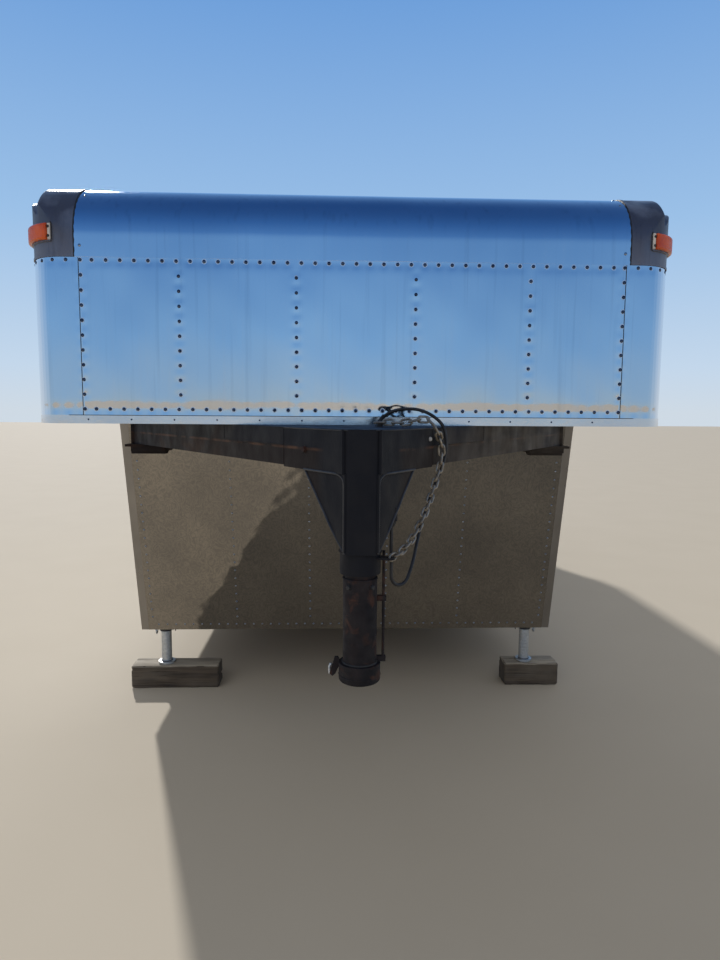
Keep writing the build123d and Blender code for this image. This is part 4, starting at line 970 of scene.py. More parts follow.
@dataclass
class Nose:
    """Riveted front sheet and rolled cove of the nose."""

    seams: tuple[float, ...] = (-1.007, -0.653, -0.222, 0.222, 0.653, 1.007)
    top_row: float = 2.2135
    bottom_row: float = 1.674
    sheet_low: float = 1.652
    sheet_high: float = 2.223
    cell: float = 0.009
    sheet: float = 0.0008
    seam_lap: float = 0.008
    around: int = 5
    too_near: float = 0.02
    rivet_r: float = 0.0070
    rivet_h: float = 0.0035
    ring_r: float = 0.0100

    def row_xs(self) -> list[float]:
        """Places of the rivets along a row, with the outer seams."""
        count = int(self.seams[-1] / RIVET_PITCH)
        return [i * RIVET_PITCH for i in range(-count, count + 1)]

    def column_zs(self) -> list[float]:
        """Heights of the rivets in a seam."""
        count = int((self.top_row - self.bottom_row) / RIVET_PITCH)
        gap = (self.top_row - self.bottom_row) / count
        return [self.bottom_row + gap * i for i in range(1, count)]

    def spots(self) -> list[Spot]:
        """Spots of all the front rivets."""
        ends = (self.bottom_row, self.top_row)
        places = [(x, z) for z in ends for x in self.row_xs()]
        for x in self.seams:
            taken = min(abs(x - r) for r in self.row_xs()) < self.too_near
            column = self.column_zs() if taken else (self.bottom_row, *self.column_zs(), self.top_row)
            places += [(x, z) for z in column]
        return [Spot(Vector((x, NOSE_Y - self.sheet, z)), AHEAD) for x, z in places]

    def pull(self, x: Grid, z: Grid) -> Grid:
        """How far the sheet is pulled in at the rivets and bellied between them."""
        total = np.zeros_like(x)
        for row in (self.bottom_row, self.top_row):
            total += dimples(z - row, x, (0.0011, 0.014), (0.0006, 0.02))
        for seam in self.seams:
            total += dimples(x - seam, z - self.bottom_row, (0.0009, 0.014), (0.0006, 0.022))
        belly = (0.0006 * np.sin(5.1 * x + 1.7 * z + 0.4) * np.sin(7.3 * z + 2.1 * x)
                 + 0.00035 * np.sin(13.7 * x - 3.1 * z + 1.3) * np.sin(11.0 * z + 0.6)
                 + 0.0002 * np.sin(29.0 * x + 8.0 * z) * np.sin(23.0 * z - 5.0 * x))
        return np.clip(0.0008 - total + belly, -0.0004, 0.0022)

    def corner_point(self, side: Side, reach: Grid, z: Grid, out: Grid) -> Grid:
        """Points a distance round the corner from the last seam, lifted outwards."""
        flat = CORNER[0] - self.seams[-1]
        angle = np.maximum(0.0, (reach - flat) / CORNER_R)
        radius = CORNER_R + out
        x = CORNER[0] + radius * np.sin(angle) + np.minimum(0.0, reach - flat)
        return np.stack([side.value * x, CORNER[1] - radius * np.cos(angle), z], -1)

    def corner_spot(self, side: Side, reach: float, z: float) -> Spot:
        """Spot on the corner sheet a distance round the corner."""
        inner, outer = (self.corner_point(side, np.array(reach), np.array(z), np.array(lift))
                        for lift in (0.0, self.sheet))
        return Spot(Vector(outer), Vector(outer - inner).normalized(), UP)

    def corner_mesh(self, side: Side) -> Mesh:
        """Rolled corner sheet with streaks down it, over the end of the front sheet."""
        flat = CORNER[0] - self.seams[-1]
        reach, z = np.meshgrid(np.linspace(self.seam_lap, flat + CORNER_R * math.pi / 2, 110),
                               np.linspace(self.sheet_low, self.sheet_high, 64))
        lift = self.sheet * 1.6 + self.pull(self.seams[-1] + reach, z) * 0.7
        lift += 0.00010 * np.sin(reach * 330 + 0.8 * np.sin(z * 5)) + 0.00006 * np.sin(reach * 741 + 1.0)
        front = self.corner_point(side, reach, z, lift)
        back = self.corner_point(side, reach, z, np.full_like(lift, -0.001))
        return skin_mesh(f"corner_sheet_{side.word}", front, back, side is Side.RIGHT)

    def front_mesh(self) -> Mesh:
        """Front sheet with its dimples and waves."""
        edge = self.seams[-1]
        xs = np.linspace(-edge, edge, int(2 * edge / self.cell))
        zs = np.linspace(self.sheet_low, self.sheet_high, int((self.sheet_high - self.sheet_low) / self.cell))
        x, z = np.meshgrid(xs, zs)
        front = np.stack([x, NOSE_Y - self.sheet - self.pull(x, z), z], -1)
        back = np.stack([x, np.full_like(x, NOSE_Y + 0.001), z], -1)
        return skin_mesh("nose_sheet", front, back)

    def build(self) -> None:
        """Make the sheet and its rivets."""
        add_piece("nose_sheet", self.front_mesh(), Look.SHEET, slot="polished_sheet")
        for side in Side:
            add_piece(f"corner_sheet_{side.word}", self.corner_mesh(side), Look.SHEET, slot="polished_sheet")
        self.rivets("nose", self.spots())
        self.rivets("corner", [self.corner_spot(side, i * RIVET_PITCH, self.top_row) for side in Side
                               for i in range(1, self.around + 1)])

    def rivets(self, name: str, spots: Sequence[Spot]) -> None:
        """Add rivet heads darkened as a painted reflection of dark surroundings, and bright discs round them
        as a painted bright reflection.
        """
        for word, part, look in (("rivets", dome(self.rivet_r, self.rivet_h), Look.NOSE_RIVET),
                                 ("rivet_rings", ring_disc(self.ring_r), Look.HALO)):
            copies_piece(f"{name}_{word}", part, spots, look, slot="polished_sheet")


@dataclass
class Bulkhead:
    """Raked, riveted bulkhead sheet."""

    columns: tuple[float, ...] = (-1.150, -0.653, -0.222, 0.222, 0.653, 1.150)
    top_y: float = -2.310
    top_z: float = 1.620
    foot_y: float = -2.010
    foot_z: float = 0.373
    edge: float = 1.178
    foot_row: float = 0.035
    sheet: float = 0.0008
    cell: float = 0.013
    rivet_r: float = 0.0060
    rivet_h: float = 0.0032

    def axes(self) -> tuple[Vector, Vector, Vector, float]:
        """Foot point, direction up the rake, outward direction and length of the rake."""
        foot = Vector((0.0, self.foot_y, self.foot_z))
        up = Vector((0.0, self.top_y, self.top_z)) - foot
        length = up.length
        up.normalize()
        return foot, up, Vector((0.0, -up.z, up.y)), length

    def mesh(self) -> Mesh:
        """Sheet with slight waves between the rivet columns."""
        foot, up, out, length = self.axes()
        xs = np.linspace(-self.edge, self.edge, int(2 * self.edge / self.cell))
        ss = np.linspace(0.0, length, int(length / self.cell))
        x, s = np.meshgrid(xs, ss)
        pull = sum(dimples(x - c, s - self.foot_row, (0.0007, 0.018), (0.0005, 0.03)) for c in self.columns)
        waves = (0.0009 * np.sin(4.3 * x + 1.1) * np.sin(3.7 * s + 0.5)
                 + 0.0005 * np.sin(11.0 * x - 2.0 * s) * np.sin(9.0 * s + 0.9)
                 + 0.00055 * np.sin(31.0 * x + 9.0 * s) * np.sin(27.0 * s - 6.0 * x)
                 + 0.0002 * np.sin(67.0 * x - 13.0 * s) * np.sin(59.0 * s + 17.0 * x))
        lift = np.clip(self.sheet + 0.0006 + waves - pull, 0.0002, 0.0035)
        base = np.array(foot) + s[..., None] * np.array(up) + x[..., None] * np.array((1.0, 0.0, 0.0))
        front = base + lift[..., None] * np.array(out)
        back = base - 0.001 * np.array(out)
        return skin_mesh("bulkhead_sheet", front, back)

    def spots(self) -> list[Spot]:
        """Spots of the rivets in the columns and in the foot row."""
        foot, up, out, length = self.axes()
        count = int((length - 2 * self.foot_row) / RIVET_PITCH)
        places = [(x, self.foot_row + i * RIVET_PITCH) for x in self.columns for i in range(1, count + 1)]
        row = int(self.columns[-1] / RIVET_PITCH)
        places += [(i * RIVET_PITCH, self.foot_row) for i in range(-row, row + 1)]
        return [Spot(foot + up * s + Vector((x, 0.0, 0.0)) + out * self.sheet, out) for x, s in places]

    def build(self) -> None:
        """Make the sheet and its rivets."""
        add_piece("bulkhead_sheet", self.mesh(), Look.BULKHEAD_SHEET, slot="polished_sheet")
        copies_piece("bulkhead_rivets", dome(self.rivet_r, self.rivet_h), self.spots(), Look.RIVET,
                     slot="polished_sheet")


@dataclass
class SafetyChain:
    """Welded chain whose links stand where the solid's links are."""

    wire: float = 0.004
    half_width: float = 0.0095
    half_straight: float = 0.0095

    def link(self) -> Mesh:
        """One link, long along X and flat in XY."""
        path = []
        for end in (1, -1):
            for i in range(8):
                angle = math.radians(-90 + 180 * i / 7) + (0.0 if end > 0 else math.pi)
                path.append(Vector((end * self.half_straight + self.half_width * math.cos(angle),
                                    self.half_width * math.sin(angle), 0.0)))
        return built_mesh("chain_link", lambda made: tube_along(made, path, self.wire, 8, closed=True), 60.0)

    def spots(self) -> list[Spot]:
        """Middle, flat direction and length direction of each link of the solid."""
        made = merged_copy("safety_chain")
        found = []
        for corners in islands(made):
            offsets = corners - corners.mean(0)
            _, axes = np.linalg.eigh(offsets.T @ offsets)
            flat, along = Vector(axes[:, 0]), Vector(axes[:, 2])
            front = (AHEAD - along * AHEAD.dot(along)).normalized()
            sideways = along.cross(front)
            way = flat.dot(front) * flat.dot(sideways) * (1 if along.z > 0 else -1)
            found.append(Spot(Vector(corners.mean(0)), front if way > 0 else sideways, along))
        made.free()
        return found

    def build(self) -> None:
        """Make the chain in place of its solid."""
        copies_piece("safety_chain_links", self.link(), self.spots(), Look.CHAIN, slot="zinc_chain",
                     stands_for=("safety_chain",))


@dataclass
class WiringCable:
    """Cable from its gland on the neck top to its plug beside the post."""

    radius: float = 0.0055
    exit: Point = (0.080, -3.584, 1.636)
    length: float = 1.07
    route: tuple[Point, ...] = (
        (0.080, -0.214, 1.636), (0.090, -0.219, 1.656), (0.119, -0.230, 1.674), (0.161, -0.244, 1.682),
        (0.209, -0.257, 1.680), (0.253, -0.268, 1.661), (0.290, -0.275, 1.628), (0.300, -0.274, 1.589),
        (0.301, -0.274, 1.543), (0.292, -0.277, 1.497), (0.273, -0.284, 1.450), (0.251, -0.302, 1.402),
        (0.229, -0.331, 1.352), (0.207, -0.368, 1.301), (0.189, -0.406, 1.250), (0.178, -0.435, 1.213),
        (0.168, -0.456, 1.186), (0.157, -0.475, 1.162), (0.149, -0.481, 1.144), (0.135, -0.492, 1.1335),
        (0.118, -0.505, 1.1335), (0.104, -0.516, 1.144), (0.096, -0.522, 1.162), (0.097, -0.522, 1.197),
        (0.095, -0.521, 1.238), (0.096, -0.520, 1.280), (0.096, -0.520, 1.320))

    def curve(self) -> Piece:
        """The cable as one smooth spline over the route's points."""
        data = bpy.data.curves.new("wiring_cable_run", "CURVE")
        data.dimensions = "3D"
        data.bevel_depth = self.radius
        data.bevel_resolution = 4
        data.resolution_u = 8
        data.use_fill_caps = True
        line = data.splines.new("NURBS")
        line.points.add(len(self.route) - 1)
        for point, (x, y, z) in zip(line.points, self.route):
            point.co = (x, NOSE_Y + y, z, 1.0)
        line.order_u = 3
        line.use_endpoint_u = True
        data.materials.append(Look.RUBBER.material())
        return put_in_scene("wiring_cable_run", data)

    def gland_mesh(self) -> Mesh:
        """Tapered relief sleeve round the first stretch of the cable."""
        along = Vector(self.route[1]) - Vector(self.route[0])
        place = Matrix.Translation(self.exit) @ along.to_track_quat("Z", "Y").to_matrix().to_4x4()
        profile = [(0.0115, -0.004), (0.0115, 0.004), (0.0095, 0.006)]
        for i in range(5):
            low, wide = 0.006 + i * 0.004, 0.0095 - i * 0.0006
            narrow = wide - 0.0012
            profile += [(wide, low), (wide, low + 0.0025), (narrow, low + 0.003), (narrow, low + 0.004)]
        profile += [(self.radius + 0.0006, 0.0275), (0.0, 0.0275)]
        return turned_mesh("cable_sleeve", ((profile, 20),), 35.0, place)

    def plug_mesh(self) -> Mesh:
        """Plug with a ribbed grip and a locking ring, over the solid's place."""
        low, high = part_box("cable_plug")
        place = Matrix.Translation(((low.x + high.x) / 2, (low.y + high.y) / 2, low.z))
        radius = (high.x - low.x) / 2
        height = high.z - low.z

        def build(made: BMesh) -> None:
            """Turn the body and set its ribs round it."""
            neck, foot, crown = radius * 0.9, radius * 0.84, radius * 0.985
            revolved(made, ((self.radius + 0.001, 0.0), (radius * 0.72, 0.004), (neck, 0.010),
                            (neck, height - 0.012), (radius, height - 0.010), (radius, height - 0.002),
                            (neck, height), (0.0, height)), 28, place)
            outline = [(foot, -0.0014), (crown, -0.0011), (crown, 0.0011), (foot, 0.0014)]
            for angle in turns(12):
                prism(made, outline, 0.012, height - 0.014, place @ Matrix.Rotation(angle, 4, "Z"))
        return built_mesh("cable_plug_body", build, 35.0)

    def build(self) -> None:
        """Make the cable, its sleeve and its plug."""
        cable = self.curve()
        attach(cable, "trailer")
        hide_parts("wiring_cable")
        sleeve = add_piece("cable_sleeve", self.gland_mesh(), Look.RUBBER, slot="black_rubber")
        plug = add_piece("cable_plug_body", self.plug_mesh(), Look.RUBBER, slot="black_rubber",
                         stands_for=("cable_plug",))


@dataclass
class Cove:
    """Rolled top of the nose between the caps, with its rivets and the sealant at the caps."""

    cap_x: float = 1.029
    low_z: float = 2.2245
    end_y: float = -3.141
    columns: int = 230
    turns: int = 34
    lift: float = 0.0007
    bead: float = 0.0022

    def run(self) -> list[tuple[float, float, float, float]]:
        """Y and Z of the profile, with the direction that it faces."""
        line = [(NOSE_Y, z, -1.0, 0.0) for z in np.linspace(self.low_z, ROLL[1], 9)[:-1]]
        for angle in np.linspace(0, math.pi / 2, self.turns):
            y, z = -math.cos(angle), math.sin(angle)
            line.append((ROLL[0] + ROLL_R * y, ROLL[1] + ROLL_R * z, y, z))
        line.append((self.end_y, ROLL[1] + ROLL_R, 0.0, 1.0))
        return line

    def mesh(self) -> Mesh:
        """Sheet of the cove with soft waves along it."""
        run = np.array(self.run())
        xs = np.linspace(-self.cap_x, self.cap_x, self.columns)
        x, row = np.meshgrid(xs, np.arange(len(run)))
        y, z, out_y, out_z = (run[row, k] for k in range(4))
        waves = (0.0005 * np.sin(4.7 * x + 0.7) * np.sin(9.0 * z + 1.0) + 0.0003 * np.sin(11.3 * x + 6.0 * z)
                 + 0.00015 * np.sin(27.0 * x - 14.0 * z + 2.0))
        lift = np.clip(self.lift + waves * (1.0 - out_z ** 2), 0.0002, 0.0018)
        front = np.stack([x, y + out_y * lift, z + out_z * lift], -1)
        back = np.stack([x, y - out_y * 0.001, z - out_z * 0.001], -1)
        return skin_mesh("nose_cove_sheet", front, back)

    def build(self) -> None:
        """Make the sheet, the rivets by the caps and the sealant."""
        add_piece("nose_cove_sheet", self.mesh(), Look.SHEET, slot="polished_sheet")
        run = self.run()
        spots, beads = [], []
        for sign in (1, -1):
            for row in (4, 9 + self.turns // 2, 9 + self.turns * 3 // 4, 8 + self.turns):
                y, z, out_y, out_z = run[row]
                out = Vector((0.0, out_y, out_z))
                spots.append(Spot(Vector((sign * (self.cap_x - 0.022), y, z)) + out * self.lift, out))
            path = [Vector((sign * (self.cap_x - 0.001 + 0.0012 * math.sin(1.9 * i)), y + out_y * 0.002,
                            z + out_z * 0.002)) for i, (y, z, out_y, out_z) in enumerate(run)]
            beads.append((path, self.bead, False))
        rivet_piece("cove_rivets", spots, 0.006)
        sweep_piece("cap_sealant", beads, Look.BLACK_TRIM, sides=6)


@dataclass
class CornerCap(Sided):
    """Stepped, rolled cap over a top corner, in place of its solid."""

    inner_x: float = 1.029
    foot_z: float = 2.224
    end_y: float = -3.1405
    proud: float = 0.003
    lip: float = 0.005
    lip_width: float = 0.008
    step_x: float = 1.158
    drop: float = 0.053
    step_run: float = 0.009
    brow_r: float = 0.008
    foot_r: float = 0.014
    wall: float = 0.0025
    base_z: Pair = (2.276, 2.348)
    base_r: float = 0.1600
    base_back: float = 0.1545
    base_edge: float = 0.0015
    base_x: float = 1.1095
    base_y: float = -3.235

    def columns(self) -> list[Point]:
        """Reach round the plan, drop of the step and standing-out of each column, from the seam outwards."""
        start = self.inner_x - CORNER[0]
        found = [(start, 0.0, self.lip), (start + self.lip_width, 0.0, self.lip)]
        found += [(s, 0.0, self.proud) for s in np.linspace(start + self.lip_width + 0.0005, 0.0, 5)]
        full = CORNER_R + self.proud
        before = math.asin((self.step_x - CORNER[0]) / full)
        found += [(full * a, 0.0, self.proud) for a in np.linspace(0.0, before, 18)[1:]]
        brow, foot, lower = self.brow_r, self.foot_r, self.drop - self.foot_r
        step = [(brow * math.sin(a), brow * (1 - math.cos(a))) for a in np.linspace(0.3, math.pi / 2, 5)]
        step += [(0.0085, 0.018), (self.step_run, lower)]
        step += [(self.step_run + foot * (1 - math.cos(a)), self.drop - foot * (1 - math.sin(a)))
                 for a in np.linspace(0.3, math.pi / 2, 6)]
        for ahead, down in step:
            angle = math.asin((self.step_x + ahead - CORNER[0]) / full)
            found.append((full * angle, down, self.proud))
        after = found[-1][0] / full
        found += [(full * a, self.drop, self.proud) for a in np.linspace(after, math.pi / 2, 16)[1:]]
        return found

    def plan(self, reach: float, out: float) -> Pair:
        """X and Y of the outline, a distance past the start of the corner."""
        radius = CORNER_R + out
        angle = max(0.0, reach / (CORNER_R + self.proud))
        return (CORNER[0] + min(0.0, reach) + radius * math.sin(angle),
                CORNER[1] - radius * math.cos(angle))

    def top(self, y: float, down: float, out: float) -> float:
        """Height of the roll at a place along Y."""
        short = min(0.0, y - ROLL[0])
        return ROLL[1] - down + math.sqrt(max(0.0, (ROLL_R + out) ** 2 - short ** 2))

    def surfaces(self) -> tuple[Grid, Grid]:
        """Grids of the cap's face with its top, and of its side."""
        edge = self.foot_z + self.lip_width
        columns = []
        for reach, down, out in self.columns():
            x, y = self.plan(reach, out)
            low_x, low_y = self.plan(reach, self.lip)
            crease = self.top(y, down, out)
            column = [(low_x, low_y, self.foot_z), (low_x, low_y, edge)]
            column += [(x, y, z) for z in np.linspace(edge + 0.0005, crease, 16)]
            run = list(np.linspace(y, self.end_y, 21)[1:-1])
            if y < ROLL[0]:
                full = ROLL_R + out
                start = math.acos(min(1.0, (ROLL[0] - y) / full))
                run = [ROLL[0] - full * math.cos(a) for a in np.linspace(start, math.pi / 2, 20)[1:]]
            column += [(x, v, self.top(v, down, out)) for v in (*run, self.end_y)]
            columns.append(column)
        face = np.array(columns).transpose(1, 0, 2)
        depth = CORNER[0] + CORNER_R
        sides = []
        for y in np.linspace(CORNER[1], self.end_y, 8):
            high = self.top(y, self.drop, self.proud)
            column = [(depth + self.lip, y, self.foot_z), (depth + self.lip, y, edge)]
            sides.append(column + [(depth + self.proud, y, z) for z in np.linspace(edge + 0.0005, high, 16)])
        return face, np.array(sides).transpose(1, 0, 2)

    def base(self) -> Grid:
        """Grid of the pad under the lamp."""
        start = math.acos((self.base_x - CORNER[0]) / self.base_r)
        end = math.asin((CORNER[1] - self.base_y) / self.base_r)
        rows = []
        for z, radius in ((self.base_z[0], self.base_back), (self.base_z[0] + self.base_edge, self.base_r),
                          (self.base_z[1] - self.base_edge, self.base_r), (self.base_z[1], self.base_back)):
            angles = [(start, self.base_back), *((a, radius) for a in np.linspace(start, end, 40)),
                      (end, self.base_back)]
            rows.append([(CORNER[0] + r * math.cos(a), CORNER[1] - r * math.sin(a), z)
                         for a, r in angles])
        return np.array(rows)

    def build(self) -> None:
        """Make the cap."""
        def shell(made: BMesh) -> None:
            """Add the face, the side and the lamp's pad."""
            for points in (*self.surfaces(), self.base()):
                grid_faces(made, points * np.array((self.sign, 1.0, 1.0)), self.side is Side.RIGHT)
            thicken(made, self.wall)
        node = f"corner_cap_{self.word}"
        built_piece(f"{node}_cast", shell, Look.CAST, angle=32.0, slot="cast_aluminium", stands_for=(node,))


@dataclass
class NoseTrim:
    """Small rivets along the rail under the nose, seams beside the corners, a dark strip above the rail that
    is a painted shadow line, and a pale strip along the roof's front edge that is a painted highlight.
    """

    rail_z: float = 1.6355
    rail_first: float = -0.995
    rail_pitch: float = 0.1585
    rail_count: int = 13
    rail_out: float = 0.0032
    seam_x: float = 1.0145
    seam_width: float = 0.0014
    seam_z: Pair = (1.652, 2.223)
    roof_x: float = 1.028

    def build(self) -> None:
        """Make the rivets, the seams with the painted shadow line, and the painted highlight strip."""
        xs = (self.rail_first + i * self.rail_pitch for i in range(self.rail_count))
        rail = [Spot(Vector((x, NOSE_Y - self.rail_out, self.rail_z)), AHEAD) for x in xs]
        rivet_piece("rail_rivets", rail, 0.0036, Look.NOSE_RIVET)
        inner = self.seam_x - self.seam_width
        seams = [(x, (NOSE_Y - 0.0021, NOSE_Y), self.seam_z)
                 for x in ((inner, self.seam_x), (-self.seam_x, -inner))]
        # A dark strip above the rail: a painted shadow line between the sheet and the rail.
        painted_shadow_line = ((-1.066, 1.066), (NOSE_Y - 0.0034, NOSE_Y), (1.6500, 1.6524))
        bars_piece("nose_seams", [*seams, painted_shadow_line], Look.BLACK_TRIM)
        # A pale strip along the roof's front edge: a painted highlight.
        outline = [(-3.1560, 2.5085), (-3.1550, 2.5100), (-3.1200, 2.5100), (-3.1190, 2.5085)]
        built_piece("roof_front_strip", lambda made: prism(made, outline, -self.roof_x, self.roof_x, ALONG_X),
                    Look.PANEL)


@dataclass
class MarkerLamp(Sided):
    """Amber lamp round a corner cap: fluted lens, end plate and two screws."""

    radius: float = 0.172
    thick: float = 0.0115
    edge: float = 0.006
    flutes: int = 30
    plate: float = 0.078
    plate_r: float = 0.1655

    def patch(self, start: float, end: float, radius: float, depth: float, flute: float, name: str) -> Mesh:
        """Closed band round the corner between two angles, over the lens's heights, with rounded rims."""
        low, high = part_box(f"marker_lens_{self.word}")
        middle, half = (low.z + high.z) / 2, (high.z - low.z) / 2
        angles = np.linspace(start, end, 140)
        heights = np.concatenate([[-1, -0.97, -0.9, -0.8], np.linspace(-0.66, 0.66, 9), [0.8, 0.9, 0.97, 1]])
        angle, height = np.meshgrid(angles, heights)
        run = (angle - start) / (end - start)
        ends = 2 * radius * abs(end - start) / (2 * half) * np.minimum(run, 1 - run)
        rim = np.minimum(1 - np.abs(height), ends)
        inset = 1 - np.clip(rim * half / self.edge, 0, 1)
        round_off = self.edge * (1 - np.sqrt(np.clip(1 - inset ** 2, 0, 1)))
        face = radius - round_off * min(1.0, depth / self.edge * 0.7)
        face = face + flute * np.sin(2 * np.pi * self.flutes * run) * np.clip(rim * 4, 0, 1)
        front = self.at(angle, face, middle + height * half)
        back = self.at(angle, np.full_like(angle, radius - depth), middle + height * half)
        return skin_mesh(name, front, back, self.side is Side.RIGHT)

    def at(self, angle: Grid | float, radius: Grid | float, z: Grid | float) -> Grid:
        """Points round the corner, from the side towards the front."""
        return np.stack([self.sign * (CORNER[0] + radius * np.cos(angle)),
                         CORNER[1] - radius * np.sin(angle), z], -1)

    def build(self) -> None:
        """Make the lens in place of its solid, the end plate and the screws."""
        node = f"marker_lens_{self.word}"
        low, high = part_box(node)
        inner = math.acos((min(abs(low.x), abs(high.x)) - CORNER[0]) / self.radius)
        outer = math.asin((CORNER[1] - high.y) / self.radius)
        lens = self.patch(inner, outer, self.radius, self.thick, 0.0004, f"{node}_fluted")
        add_piece(f"{node}_fluted", lens, Look.AMBER, slot="amber_lens", stands_for=(node,))
        name = f"lamp_end_{self.word}"
        plate = self.patch(inner + self.plate, inner + 0.004, self.plate_r, 0.006, 0.0, name)
        add_piece(name, plate, Look.LAMP_BASE)
        angle = inner + self.plate * 0.45
        out = Vector((self.sign * math.cos(angle), -math.sin(angle), 0.0))
        spots = [Spot(Vector(self.at(angle, self.plate_r - 0.0005, low.z + share * (high.z - low.z))), out)
                 for share in (0.22, 0.78)]
        rivet_piece(f"lamp_screws_{self.word}", spots, 0.0056, Look.BLACK_TRIM)


@dataclass
class Neck:
    """Bent edges, weld beads and bolts of the neck."""

    start: Pair = (0.050, -3.990)
    end: Pair = (1.150, -2.310)
    low_z: float = 1.4905
    top_z: float = 1.620
    arm: float = 0.350
    cheek: float = 0.820
    cheek_z: float = 1.562
    gusset: float = 0.222
    bend: Pair = (0.070, 1.3245)
    column_x: float = 0.0505
    column_y: float = -3.9835
    foot_z: float = 1.256
    collar_r: float = 0.0625
    edge_r: float = 0.0038
    weld_r: float = 0.0036

    def at(self, side: Side, along: float, z: float, out: float = 0.0) -> Vector:
        """Point on the outer face of a side's beam."""
        way = (Vector(self.end) - Vector(self.start)).normalized()
        x = self.start[0] + way.x * along + way.y * out
        return Vector((side.value * x, self.start[1] + way.y * along - way.x * out, z))

    def facing(self, side: Side) -> Vector:
        """Outward direction of a side's beam."""
        return self.at(side, 0.0, 0.0, 1.0) - self.at(side, 0.0, 0.0, 0.0)

    def edges(self, side: Side) -> list[Run]:
        """Bent lips along the arm, the column and the gusset, and a crest along the top, paler as partly edge
        wear and partly painted highlight.
        """
        lip_out, fall = 0.004, Vector((0.0, 0.0, 0.034))
        corner = Vector((side.value * self.column_x, self.column_y, self.low_z))
        first = self.at(side, 0.05, self.low_z, lip_out)
        last = corner - fall
        bend = [first.lerp(corner, k / 6).lerp(corner.lerp(last, k / 6), k / 6) for k in range(7)]
        column = [self.at(side, self.gusset, self.low_z, lip_out), *bend,
                  Vector((corner.x, corner.y, self.foot_z))]
        top, front = self.top_z - 0.0022, self.start[1] + 0.0030
        crest = [self.at(side, self.arm, top, 0.0038), self.at(side, 0.012, top, 0.0038),
                 Vector((side.value * 0.044, front, top)), Vector((0.0, front, top))]
        gusset = [self.at(side, self.gusset + 0.002, self.low_z + 0.002, 0.0), self.at(side, *self.bend),
                  Vector((side.value * 0.053, self.column_y + 0.012, self.foot_z + 0.006))]
        return [(column, self.edge_r, False), (gusset, self.edge_r, False), (crest, 0.0024, False)]

    def welds(self, side: Side) -> list[Run]:
        """Beads round the cheek plate and at the end of the arm."""
        step, proud = 0.004, 0.0035
        cheek = [self.at(side, self.arm + 0.004, self.cheek_z, proud),
                 self.at(side, self.cheek, self.cheek_z, proud),
                 self.at(side, self.cheek + 0.001, self.top_z - 0.004, proud)]
        arm = [self.at(side, self.arm + 0.0015, z, 0.003) for z in (self.low_z + 0.006, self.cheek_z)]
        return [(finely(path, step), self.weld_r, False) for path in (cheek, arm)]

    def saddles(self) -> Mesh:
        """Packing boxes between the saddle plates and the bulkhead."""
        outline = [(-2.426, 1.4600), (-2.4245, 1.4585), (-2.2725, 1.4585), (-2.2785, 1.4835),
                   (-2.426, 1.4835)]

        def build(made: BMesh) -> None:
            """Add a box on each side."""
            for low, high in ((0.955, 1.130), (-1.130, -0.955)):
                prism(made, outline, low, high, ALONG_X)
        return built_mesh("saddle_packing", build)

    def build(self) -> None:
        """Make the lips, the welds, the ring weld over the collar and the bolts."""
        sweep_piece("neck_lips", [run for side in Side for run in self.edges(side)], Look.WORN_EDGE)
        ring = ring_path((0.0, POST_Y, 1.2535), (0.0, -self.collar_r, 0.0), (self.collar_r, 0.0, 0.0), 90)
        welds = [run for side in Side for run in self.welds(side)]
        sweep_piece("neck_welds", [*welds, (ring, self.weld_r, True)], Look.DARK_STEEL, sides=6, ripple=0.16)
        add_piece("saddle_packing", self.saddles(), Look.DARK_STEEL)
        for name, side, along, z, size, look in (
                ("rusty", Side.RIGHT, 0.215, 1.552, (0.019, 0.009), Look.RUSTY),
                ("bright", Side.LEFT, self.arm - 0.022, 1.583, (0.012, 0.006), Look.WHEEL)):
            spot = Spot(self.at(side, along, z, 0.005), self.facing(side))
            copies_piece(f"neck_bolt_{name}", hexagon_bolt(*size), [spot], look)


@dataclass
class Coupler:
    """Bolts, seams and latch of the sliding coupler."""

    sleeve_r: float = 0.052
    bolt_z: float = 1.150
    bolt_angle: float = 41.0
    joint_z: float = 0.910
    socket_r: float = 0.064
    body: str = "coupler"

    def ring(self, radius: float, z: float) -> list[Vector]:
        """Level ring round the tube."""
        return level_ring((0.0, POST_Y, z), radius, 84)

    def build(self) -> None:
        """Make the bolts, the dark joint, the weld beads and the worn latch."""
        spots = []
        for sign in (1, -1):
            angle = math.radians(self.bolt_angle) * sign
            out = Vector((math.sin(angle), -math.cos(angle), 0.0))
            spots.append(Spot(Vector((0.0, POST_Y, self.bolt_z)) + out * self.sleeve_r, out))
        copies_piece("coupler_bolts", hexagon_bolt(0.013, 0.0075), spots, Look.BLACK_TRIM, self.body)
        joint = [(self.ring(self.sleeve_r, self.joint_z), 0.0032, True)]
        sweep_piece("coupler_joint", joint, Look.BLACK_TRIM, self.body)
        beads = [(self.ring(radius, z), bead, True) for radius, z, bead in (
            (self.sleeve_r - 0.001, 1.1705, 0.003), (0.0475, 0.9575, 0.0015),
            (self.socket_r - 0.001, 0.8705, 0.0022))]
        sweep_piece("coupler_welds", beads, Look.RUSTY, self.body, 6, 0.15)
        tip = [Vector((x, POST_Y + 0.006, z))
               for x, z in ((-0.0915, 0.868), (-0.0925, 0.889), (-0.087, 0.900))]
        sweep_piece("coupler_latch_tip", [(tip, 0.0045, False)], Look.GALVANISED, self.body)


